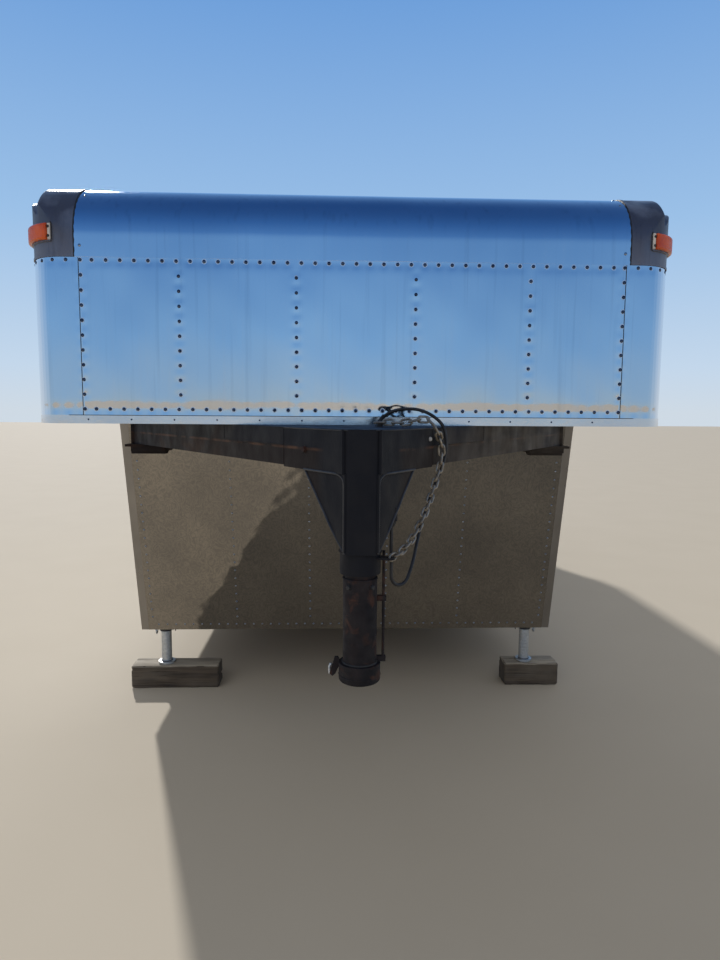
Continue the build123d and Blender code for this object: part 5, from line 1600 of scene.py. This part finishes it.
@dataclass
class TimberBlock(Sided):
    """Weathered timber with worn edges, cupped faces and drying cracks."""

    cell: float = 0.009
    wear: float = 0.0045

    def build(self) -> None:
        """Make the block in place of its solid."""
        node = f"timber_block_{self.word}"
        low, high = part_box(node)
        size = high - low

        def carve(made: BMesh) -> None:
            """Cut a fine box and wear it inwards."""
            cuts = [max(2, int(s / self.cell)) for s in size]
            seen: dict[tuple[int, int, int], bmesh.types.BMVert] = {}

            def corner(i: int, j: int, k: int) -> bmesh.types.BMVert:
                """The corner of the grid at three counts, made once."""
                key = (i, j, k)
                if key not in seen:
                    share = Vector((i / cuts[0], j / cuts[1], k / cuts[2]))
                    point = Vector(tuple(a + b * c for a, b, c in zip(low, size, share)))
                    inward = Vector(tuple((0.0, 1.0, -1.0)[(s == 0) + 2 * (s == 1)] for s in share))
                    edge = sum(1 for s in share if s in (0.0, 1.0))
                    fibre = Vector((point.x * 3, point.y * 55, point.z * 55))
                    grain = noise.noise(fibre + Vector((7.0, 0, 0)))
                    lump = noise.noise(point * 11 + Vector((self.sign * 4.0, 2.0, 0.0)))
                    crack = max(0.0, noise.noise(Vector((point.x * 2.2, point.y * 30, point.z * 30))) - 0.33)
                    depth = self.wear * (0.35 + 0.3 * grain + 0.3 * lump) + 0.02 * crack
                    depth += (edge - 1) * self.wear * (0.7 + 0.6 * lump)
                    seen[key] = made.verts.new(point + inward * max(0.0, depth))
                return seen[key]

            for axis in range(3):
                a, b = [k for k in range(3) if k != axis]
                for end in (0, cuts[axis]):
                    for i in range(cuts[a]):
                        for j in range(cuts[b]):
                            ring = []
                            for di, dj in ((0, 0), (1, 0), (1, 1), (0, 1)):
                                index = [0, 0, 0]
                                index[axis], index[a], index[b] = end, i + di, j + dj
                                ring.append(corner(*index))
                            made.faces.new(ring)

        built_piece(f"{node}_worn", carve, Look.BLOCK, angle=50.0, slot="block_timber", stands_for=(node,))


@dataclass
class Jack(Sided):
    """Bolts, weld rings, dark guide and pin clip of a jack."""

    centre: Pair = (1.100, -1.920)
    plate_z: float = 0.365
    sleeve_r: float = 0.035
    foot_r: float = 0.031
    foot_z: float = 0.1525
    bolt_inset: float = 0.050
    pin_z: float = 0.352

    def build(self) -> None:
        """Make the parts."""
        x, y = self.sign * self.centre[0], self.centre[1]
        spots = [Spot(Vector((x + i * self.bolt_inset, y + j * self.bolt_inset, self.plate_z)), DOWN)
                 for i in (1, -1) for j in (1, -1)]
        copies_piece(f"jack_bolts_{self.word}", hexagon_bolt(0.014, 0.007), spots, Look.GALVANISED)
        welds = [(level_ring((x, y, z), radius, 60), 0.003, True)
                 for z, radius in ((self.plate_z - 0.001, self.sleeve_r), (self.foot_z, self.foot_r))]
        sweep_piece(f"jack_welds_{self.word}", welds, Look.CHASSIS, sides=6, ripple=0.15)
        guide = ((0.0356, 0.3405), (0.0376, 0.3425), (0.0376, 0.3555), (0.0362, 0.3575), (0.0362, 0.3660))
        mesh = turned_mesh("jack_guide", ((guide, 40),), 30.0, Matrix.Translation((x, y, 0.0)))
        add_piece(f"jack_guide_{self.word}", mesh, Look.BLACK_TRIM)
        eye = (x - self.sign * 0.056, y, self.pin_z - 0.004)
        clip = ring_path(eye, (0.0, 0.010, 0.0), (0.0, 0.0, 0.014), 24)
        sweep_piece(f"jack_clip_{self.word}", [(clip, 0.0014, True)], Look.BLACK_TRIM, sides=6)


@dataclass
class Wheel(Sided):
    """Treaded tyre, lug nuts, hub cap and valve of one wheel."""

    axle: str
    outer_r: float = 0.391
    groove: float = 0.0074
    pitches: int = 72
    ribs: tuple[float, ...] = (-0.0640, -0.0320, 0.0, 0.0320, 0.0640)
    rib_half: float = 0.0132
    nuts: int = 8
    nut_r: float = 0.0825
    disc_out: float = 0.034
    hub_out: float = 0.095
    valve_r: float = 0.168

    @property
    def body(self) -> str:
        """Body that the wheel's pieces ride on."""
        return f"{self.axle}_{self.word}_wheel"

    def centre(self) -> Vector:
        """Middle of the wheel."""
        return sum(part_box(f"tyre_{self.axle}_{self.word}"), Vector()) / 2

    def carcass(self) -> Mesh:
        """Tyre body with a ribbed sidewall, up to the bottom of its tread grooves."""
        base = self.outer_r - self.groove
        half = [(0.0700, 0.2052), (0.0760, 0.2052), (0.0840, 0.2120), (0.1000, 0.2300), (0.1050, 0.2380),
                (0.1110, 0.2600), (0.1155, 0.2800), (0.1172, 0.2920), (0.1172, 0.3000), (0.1150, 0.3010),
                (0.1150, 0.3060), (0.1165, 0.3070), (0.1160, 0.3200), (0.1135, 0.3380), (0.1110, 0.3450),
                (0.1080, 0.3470), (0.1070, 0.3560), (0.1030, 0.3700), (0.0960, 0.3790), (0.0860, 0.3834)]
        profile = half + [(0.040, base), (0.0, base)]
        loop = [(-x, r) for x, r in profile[:-1]] + profile[::-1]
        centre = self.centre()

        def build(made: BMesh) -> None:
            """Turn the section round the wheel's axis."""
            rings = [[made.verts.new(centre + Vector((x, r * math.cos(angle), r * math.sin(angle))))
                      for x, r in loop] for angle in turns(120)]
            bridge(made, rings, True)
        return built_mesh("tyre_carcass", build, 38.0)

    def block(self) -> Mesh:
        """One slanted tread block, standing on the groove's bottom."""
        half_x, half_y = self.rib_half, math.pi * self.outer_r / self.pitches * 0.86
        slant, top = 0.004, self.groove

        def build(made: BMesh) -> None:
            """Add the tapered block."""
            rings = [[made.verts.new((sx * (half_x + grow), sy * (half_y + grow) + sx * slant, z))
                      for sx, sy in ((-1, -1), (1, -1), (1, 1), (-1, 1))]
                     for grow, z in ((0.0014, -0.001), (0.0, top - 0.0008), (-0.0008, top - 0.0003))]
            bridge(made, rings)
            made.faces.new(rings[0][::-1])
            made.faces.new(rings[-1])
        return built_mesh("tread_block", build, 30.0)

    def ray(self, part: float, count: int) -> Vector:
        """Direction away from the axis at a part of a count of even steps round it."""
        angle = math.tau * part / count
        return Vector((0.0, math.cos(angle), math.sin(angle)))

    def tread(self) -> list[Spot]:
        """Spots of the tread blocks, set off from rib to rib."""
        centre = self.centre()
        spots = []
        for rib, x in enumerate(self.ribs):
            for i in range(self.pitches):
                out = self.ray(i + 0.5 * (rib % 2), self.pitches)
                foot = centre + Vector((x, 0.0, 0.0)) + out * (self.outer_r - self.groove - 0.0002)
                spots.append(Spot(foot, out))
        return spots

    def build(self) -> None:
        """Make the tyre in place of its solid and the parts on the disc."""
        word = f"{self.axle}_{self.word}"
        joined = bmesh.new()
        joined.from_mesh(self.carcass())
        joined.from_mesh(Repeat.mesh("tread", self.block(), self.tread(), Look.TYRE))
        mesh = bpy.data.meshes.new(f"tyre_{word}_treaded")
        joined.to_mesh(mesh)
        joined.free()
        add_piece(f"tyre_{word}_treaded", mesh, Look.TYRE, self.body, "tyre", (f"tyre_{word}",))
        out = Vector((self.sign, 0.0, 0.0))
        face = self.centre() + out * self.disc_out
        rays = [self.ray(i + 0.5, self.nuts) for i in range(self.nuts)]
        spots = [Spot(face + ray * self.nut_r, out, ray) for ray in rays]
        copies_piece(f"lug_nuts_{word}", hexagon_bolt(0.0215, 0.018), spots, Look.RIVET, self.body)
        turn = out.to_track_quat("Z", "Y").to_matrix().to_4x4()
        hub = Matrix.Translation(self.centre() + out * (self.hub_out - 0.002)) @ turn
        cap = ((0.033, 0.0), (0.033, 0.004), (0.030, 0.008), (0.018, 0.011), (0.0, 0.012))

        def build(made: BMesh) -> None:
            """Add the cap and the valve."""
            revolved(made, cap, 32, hub)
            start = face + rays[1] * self.valve_r
            tube_along(made, [start, start + out * 0.022, start + out * 0.038 + rays[1] * -0.006], 0.0036, 8)
        built_piece(f"hub_cap_{word}", build, Look.WHEEL, self.body, 35.0)


@dataclass
class SideWall(Sided):
    """Seam strips, rivets, bottom rail and wheel-opening trim of one side."""

    start_y: float = -3.060
    end_y: float = 3.860
    post: float = 0.6096
    low_z: float = 0.402
    nose_z: float = 1.674
    top_z: float = 2.392
    nose_end: float = -2.230
    bulk_foot: float = -1.930
    cutout: tuple[float, float, float, float] = (0.610, 2.450, 0.373, 0.860)
    cutout_r: float = 0.160
    door: tuple[float, float, float, float] = (-1.690, -0.760, 0.480, 2.380)

    def free(self, y: float, z: float, margin: float = 0.03) -> bool:
        """Whether a place lies on the wall's sheet."""
        start, end, _, top = self.cutout
        if start - margin < y < end + margin and z < top + margin:
            return False
        rake = self.nose_end + (self.nose_z - z) * 0.24
        if z < self.nose_z - 0.01 and y < rake + margin:
            return False
        first, last, low, high = self.door
        return not (self.side is Side.RIGHT and first < y < last and low < z < high)

    def spots(self) -> list[Spot]:
        """Spots of the rivets in the rows and along the posts."""
        places = [(y, self.top_z) for y in spread(self.start_y, self.end_y, WALL_PITCH)]
        places += [(y, self.low_z) for y in spread(self.bulk_foot, self.end_y, WALL_PITCH)]
        places += [(y, self.nose_z) for y in spread(self.start_y, self.nose_end, WALL_PITCH)]
        for y in self.posts():
            places += [(y, z) for z in spread(self.low_z, self.top_z, WALL_PITCH)[1:-1]]
        out = Vector((self.sign, 0.0, 0.0))
        return [Spot(Vector((self.sign * (HALF + 0.0002), y, z)), out, BACK)
                for y, z in places if self.free(y, z)]

    def posts(self) -> list[float]:
        """Places of the posts behind the sheet."""
        count = int((self.end_y - self.start_y) / self.post)
        return [self.start_y + self.post * (i + 0.5) for i in range(count)]

    def arch(self) -> list[Vector]:
        """Run of the trim round the wheel opening."""
        start, end, low, top = self.cutout
        x = self.sign * HALF
        points = [Vector((x, start, low + 0.004))]
        for centre_y, first in ((start + self.cutout_r, 180), (end - self.cutout_r, 90)):
            points += [Vector((x, centre_y + self.cutout_r * math.cos(math.radians(first - a)),
                               top - self.cutout_r + self.cutout_r * math.sin(math.radians(first - a))))
                       for a in range(0, 91, 9)]
        return [*points, Vector((x, end, low + 0.004))]

    def build(self) -> None:
        """Make the wall's pieces."""
        word = self.word
        rivet_piece(f"wall_rivets_{word}", self.spots(), 0.0048, Look.PANEL)
        face, thin = (sorted((self.sign * (HALF - 0.0005), self.sign * (HALF + out)))
                      for out in (0.004, 0.0011))
        start, end, low, _ = self.cutout
        rails = [(face, (-3.138, REAR_Y - 0.061), (2.4165, 2.4225))]
        for span in ((self.bulk_foot, start - 0.012), (end + 0.012, REAR_Y - 0.001)):
            rails += [(face, span, (low + 0.001, low + 0.011)), (face, span, (low + 0.046, low + 0.056)),
                      (thin, span, (low + 0.001, low + 0.056))]
        bars_piece(f"wall_rails_{word}", rails, Look.EXTRUSION)
        strips = []
        for y in self.posts()[1::2]:
            heights = [z for z in spread(0.44, 2.40, 0.02)
                       if self.free(y - 0.03, z) and self.free(y + 0.03, z)]
            if heights and self.free(y, 2.0):
                strips.append((thin, (y - 0.016, y + 0.016), (min(heights), 2.412)))
        bars_piece(f"seam_strips_{word}", strips, Look.PANEL)
        sweep_piece(f"wheel_opening_trim_{word}", [(self.arch(), 0.0065, False)], Look.RUBBER)


@dataclass
class Roof:
    """Cross seams of the roof and the rivets along its rails."""

    half_x: float = 1.126
    rail_x: float = 1.147
    top_z: float = 2.508
    start_y: float = -3.135
    end_y: float = 3.880
    seam: float = 1.2192

    def build(self) -> None:
        """Make the strips and the rivets."""
        across, height = (-self.half_x, self.half_x), (self.top_z - 0.0005, self.top_z + 0.0012)
        strips = [(across, (y - 0.018, y + 0.018), height)
                  for y in spread(self.start_y + 0.02, self.end_y - 0.02, self.seam)]
        bars_piece("roof_seams", strips, Look.PANEL)
        spots = [Spot(Vector((sign * self.rail_x, y, self.top_z)), UP) for sign in (1, -1)
                 for y in spread(self.start_y + 0.03, self.end_y, WALL_PITCH)]
        rivet_piece("roof_rivets", spots, 0.0048)


@dataclass
class SideDoor:
    """Edge trim, lock, rivets and hinge bolts of the side door, and the frame round its opening."""

    body: str = "side_door"
    face_x: float = -1.219
    corner_r: float = 0.070

    def loop(self, grow: float, x: float) -> list[Vector]:
        """Rounded run round the door, grown by a margin."""
        low, high = (-1.620, 0.540), (-0.820, 2.330)
        middle_y, middle_z = (low[0] + high[0]) / 2, (low[1] + high[1]) / 2
        half_y, half_z = (high[0] - low[0]) / 2 + grow, (high[1] - low[1]) / 2 + grow
        return [Vector((x, middle_y + a, middle_z + b))
                for a, b in rounded_loop(half_y, half_z, self.corner_r + grow)]

    def build(self) -> None:
        """Make the door's pieces."""
        for name, grow, bead, body in (("trim", -0.012, 0.0045, self.body),
                                       ("frame", 0.016, 0.005, "trailer")):
            loop = finely(self.loop(grow, self.face_x), 0.08)
            sweep_piece(f"side_door_{name}", [(loop, bead, True)], Look.EXTRUSION, body)
        out = Vector((-1.0, 0.0, 0.0))
        ring = finely(self.loop(-0.035, self.face_x - 0.0002), 0.110)
        rivet_piece("side_door_rivets", [Spot(p, out, BACK) for p in ring], 0.0045, Look.PANEL, self.body)
        bolts = [Spot(Vector((self.face_x - 0.005, y, z + dz)), out) for z in (0.790, 1.435, 2.080)
                 for y in (-1.585, -1.555) for dz in (-0.015, 0.015)]
        copies_piece("side_hinge_bolts", hexagon_bolt(0.009, 0.004), bolts, Look.RIVET, self.body)

        def lock(made: BMesh) -> None:
            """Add the paddle, its pivots and the key lock on the handle's case."""
            bar(made, (-1.2475, -1.2435), (-0.924, -0.876), (1.262, 1.330))
            bar(made, (-1.250, -1.243), (-0.920, -0.880), (1.262, 1.276))
            place = Matrix.Translation((-1.2435, -0.900, 1.345)) @ Matrix.Rotation(-math.pi / 2, 4, "Y")
            revolved(made, ((0.008, 0.0), (0.008, 0.004), (0.0065, 0.005), (0.0, 0.005)), 20, place)
        built_piece("side_door_lock", lock, Look.BLACK_TRIM, self.body)


@dataclass
class RearDoor(Sided):
    """Edge seal, panel rivets, hinge bolts and lock cams of one rear door."""

    span: Pair = (0.004, 1.160)
    height: Pair = (0.525, 2.390)
    face_y: float = 3.951
    hinges: tuple[float, ...] = (0.702, 1.252, 1.802, 2.250)
    rod: Pair = (0.799, 3.973)

    @property
    def body(self) -> str:
        """Body of the door."""
        return f"rear_door_{self.word}"

    def build(self) -> None:
        """Make the door's pieces."""
        word, sign = self.word, self.sign
        middle_x, middle_z = sign * sum(self.span) / 2, sum(self.height) / 2
        half_x, half_z = (self.span[1] - self.span[0]) / 2, (self.height[1] - self.height[0]) / 2
        seal = rear_loop((middle_x, self.face_y, middle_z), half_x - 0.008, half_z - 0.008, 0.012)
        sweep_piece(f"rear_door_seal_{word}", [(seal, 0.0055, True)], Look.RUBBER, self.body)
        ring = rear_loop((middle_x, self.face_y + 0.0002, middle_z), half_x - 0.035, half_z - 0.035, 0.02, 1)
        spots = [Spot(p, BACK) for p in finely(ring, WALL_PITCH)]
        rivet_piece(f"rear_door_rivets_{word}", spots, 0.0046, Look.PANEL, self.body)
        bolts = [Spot(Vector((sign * x, self.face_y + 0.006, z + dz)), BACK) for z in self.hinges
                 for x in (1.000, 1.050, 1.100) for dz in (-0.016, 0.016)]
        copies_piece(f"rear_hinge_bolts_{word}", hexagon_bolt(0.012, 0.006), bolts, Look.RIVET, self.body)

        def cams(made: BMesh) -> None:
            """Add the cams at the rod's ends and the catch of its handle."""
            x, y = sign * self.rod[0], self.rod[1]
            for low, high in ((self.height[0] + 0.002, self.height[0] + 0.020),
                              (self.height[1] - 0.020, self.height[1] - 0.002)):
                outline = [(x - 0.016, y - 0.014), (x + 0.016, y - 0.014), (x + 0.024, y + 0.012),
                           (x + 0.008, y + 0.016), (x - 0.016, y + 0.013)]
                prism(made, outline, low, high, Matrix())
            grip_x = sign * (self.rod[0] - 0.350)
            for half, depth, z in ((0.022, 0.020, (1.122, 1.131)), (0.022, 0.020, (1.169, 1.178)),
                                   (0.020, 0.004, (1.131, 1.169))):
                bar(made, (grip_x - half, grip_x + half), (self.face_y, self.face_y + depth), z)
        built_piece(f"lock_cams_{word}", cams, Look.GALVANISED, self.body)


@dataclass
class RearEnd:
    """Drip rail, lock keepers, lamp grommets, bumper bolts and blank licence plate."""

    rods: float = 0.799
    lamp: Pair = (1.080, 0.445)
    lamp_half: Pair = (0.0825, 0.030)
    plate: Pair = (0.850, 0.447)
    plate_half: Pair = (0.145, 0.0745)
    plate_holes: float = 0.0889

    def build(self) -> None:
        """Make the pieces on the rear frame."""
        foot = REAR_Y - 0.001
        trim = [((-1.165, 1.165), (foot, REAR_Y + 0.014), (2.432, 2.436)),
                ((-1.165, 1.165), (REAR_Y + 0.011, REAR_Y + 0.014), (2.425, 2.436))]
        for x in (self.rods, -self.rods):
            for z in ((2.400, 2.420), (0.491, 0.512)):
                trim += [((x + near, x + far), (foot, REAR_Y + out), z)
                         for near, far, out in ((-0.040, -0.028, 0.030), (0.028, 0.040, 0.030),
                                                (-0.045, 0.045, 0.004))]
        bars_piece("rear_trim", trim, Look.EXTRUSION)
        a, b = self.lamp_half
        loops = []
        for x in (self.lamp[0], -self.lamp[0]):
            for y, grow, radius, bead in ((0.002, 0.003, b + 0.002, 0.0045),
                                          (0.0205, -0.008, b - 0.0085, 0.0018)):
                loop = rear_loop((x, REAR_Y + y, self.lamp[1]), a + grow, b + grow, radius, 8)
                loops.append((loop, bead, True))
        sweep_piece("lamp_grommets", loops, Look.RUBBER)
        x, z = self.plate
        a, b = self.plate_half

        def plate(made: BMesh) -> None:
            """Add the plate with its raised rim."""
            place = Matrix(((1, 0, 0, x), (0, 0, 1, REAR_Y), (0, 1, 0, z), (0, 0, 0, 1)))
            prism(made, rounded_loop(a, b, 0.012), 0.0005, 0.0020, place)
            rim = rear_loop((x, REAR_Y + 0.0020, z), a - 0.004, b - 0.004, 0.010)
            tube_along(made, rim, 0.0016, 6, True)
        built_piece("blank_plate", plate, Look.PANEL)
        screws = [Spot(Vector((x + s * self.plate_holes, REAR_Y + 0.002, z)), BACK) for s in (1, -1)]
        copies_piece("plate_screws", hexagon_bolt(0.011, 0.005), screws, Look.RIVET)
        bumper = [Spot(Vector((sign * u, REAR_Y + 0.0365, w)), BACK)
                  for sign in (1, -1) for u in (0.640, 0.560) for w in (0.410, 0.470)]
        copies_piece("bumper_bolts", hexagon_bolt(0.016, 0.0082), bumper, Look.RIVET)


@dataclass
class Studio:
    """Floor, light and camera."""

    place: Point = (-0.0767, -5.895, 1.672)
    yaw: float = 2.155
    pitch: float = -5.90
    roll: float = 0.40
    focal: float = 665.0
    frame_height: float = 960.0
    sensor: float = 36.0
    floor: float = 160.0
    ambient: Colour = (0.32, 0.33, 0.345)
    suns: tuple[tuple[str, Point, float, float, Colour], ...] = (
        ("key", (0.39, -1.0, -0.66), 2.8, 2.0, (1.0, 0.96, 0.90)),
        ("fill", (0.25, 0.85, -0.55), 0.55, 60.0, (1.0, 0.98, 0.95)))
    ahead: tuple[tuple[float, Colour], ...] = (
        (0.0, (0.62, 0.70, 0.78)), (0.06, (0.55, 0.68, 0.83)), (0.25, (0.33, 0.53, 0.80)),
        (0.50, (0.16, 0.35, 0.70)), (1.0, (0.018, 0.068, 0.221)))
    behind: tuple[tuple[float, Colour], ...] = (
        (0.0, (0.36, 0.49, 0.60)), (0.03, (0.30, 0.47, 0.66)), (0.11, (0.21, 0.415, 0.695)),
        (0.21, (0.137, 0.3125, 0.606)), (0.36, (0.07, 0.20, 0.48)), (0.70, (0.036, 0.125, 0.354)),
        (1.0, (0.018, 0.068, 0.221)))

    def camera(self) -> None:
        """Camera at the photograph's place and angle."""
        yaw, pitch, roll = (math.radians(a) for a in (self.yaw, self.pitch, self.roll))
        ahead = Vector((math.sin(yaw) * math.cos(pitch), math.cos(yaw) * math.cos(pitch), math.sin(pitch)))
        level = Vector((math.cos(yaw), -math.sin(yaw), 0.0))
        upright = level.cross(ahead)
        right = level * math.cos(roll) + upright * math.sin(roll)
        top = upright * math.cos(roll) - level * math.sin(roll)
        data = bpy.data.cameras.new("camera")
        data.sensor_width = self.sensor
        data.lens = self.sensor * self.focal / self.frame_height
        data.clip_end = 500.0
        camera = put_in_scene("camera", data)
        turn = Matrix((right, top, -ahead)).transposed().to_4x4()
        camera.matrix_world = Matrix.Translation(self.place) @ turn
        bpy.context.scene.camera = camera

    def sky(self) -> None:
        """World with a neutral light, which eyes and mirrors see as a pale blue backdrop."""
        world = bpy.data.worlds.new("studio_sky")
        world.use_nodes = True
        graph = Graph(world.node_tree)
        way = graph.node("ShaderNodeTexCoord").outputs["Generated"]
        parts = graph.node("ShaderNodeSeparateXYZ", {"Vector": way})
        tones = []
        for steps in (self.behind, self.ahead):
            ramp = graph.node("ShaderNodeValToRGB", {"Fac": parts.outputs["Z"]})
            first, last = ramp.color_ramp.elements
            first.position, first.color = 0.0, (*steps[0][1], 1.0)
            last.position, last.color = 1.0, (*steps[-1][1], 1.0)
            for position, colour in steps[1:-1]:
                ramp.color_ramp.elements.new(position).color = (*colour, 1.0)
            tones.append(ramp.outputs["Color"])
        turn = graph.span(parts.outputs["Y"], -0.3, 0.5)
        seen = graph.node("ShaderNodeBackground", {"Color": graph.mix(turn, *tones)})
        light = graph.node("ShaderNodeBackground", {"Color": (*self.ambient, 1.0)})
        rays = graph.node("ShaderNodeLightPath")
        direct = graph.combine("MAXIMUM", rays.outputs["Is Camera Ray"], rays.outputs["Is Glossy Ray"])
        either = graph.combine("MAXIMUM", direct, rays.outputs["Is Transmission Ray"])
        both = graph.node("ShaderNodeMixShader")
        for socket, value in zip(both.inputs, (either, light.outputs[0], seen.outputs[0])):
            graph.put(socket, value)
        graph.lead_out("World", both.outputs[0])
        bpy.context.scene.world = world

    def lamps(self) -> None:
        """A soft key from behind on the right, and a wide fill from the front."""
        for name, aim, power, width, colour in self.suns:
            data = bpy.data.lights.new(name, "SUN")
            data.energy = power
            data.angle = math.radians(width)
            data.color = colour
            lamp = put_in_scene(name, data)
            lamp.rotation_euler = Vector(aim).to_track_quat("-Z", "Y").to_euler()
            lamp.visible_glossy = name == "key"

    def ground(self) -> None:
        """Plain pale floor."""
        half = self.floor / 2
        mesh = smooth_mesh("floor", [(-half, -half, 0), (half, -half, 0), (half, half, 0), (-half, half, 0)],
                           [(0, 1, 2, 3)])
        material = bpy.data.materials.new("floor")
        material.use_nodes = True
        graph = Graph(material.node_tree)
        tone = graph.mix(graph.noise(1.4, detail=3.0), (0.56, 0.505, 0.42), (0.60, 0.545, 0.46))
        shader = graph.node("ShaderNodeBsdfPrincipled", {"Base Color": tone, "Roughness": 0.85})
        graph.lead_out("Material", shader.outputs["BSDF"])
        mesh.materials.append(material)
        floor = put_in_scene("floor", mesh)

    def build(self) -> None:
        """Set up the camera, the floor and the light."""
        self.camera()
        self.sky()
        self.lamps()
        self.ground()
        bpy.context.scene.view_settings.view_transform = "Standard"


def dress_nodes() -> None:
    """Give every CAD node its finish."""
    for look, names in DRESS.items():
        for name in names:
            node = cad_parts[name]
            node.data.materials.clear()
            node.data.materials.append(look.material())


def main() -> None:
    """Build the studio and every sub-assembly in order."""
    logging.basicConfig(level=logging.INFO, format="%(name)s: %(message)s")
    Studio().build()
    dress_nodes()
    pairs = [make(side) for make in (CornerCap, MarkerLamp, TimberBlock, Jack, SideWall, RearDoor)
             for side in Side]
    wheels = [Wheel(side, axle) for axle in ("front", "rear") for side in Side]
    for assembly in (WiringCable(), SafetyChain(), Nose(), Cove(), NoseTrim(), Bulkhead(), Neck(), Coupler(),
                     *pairs, *wheels, Roof(), SideDoor(), RearEnd()):
        LOG.info("building %s", type(assembly).__name__)
        assembly.build()


if __name__ == "__main__":
    main()
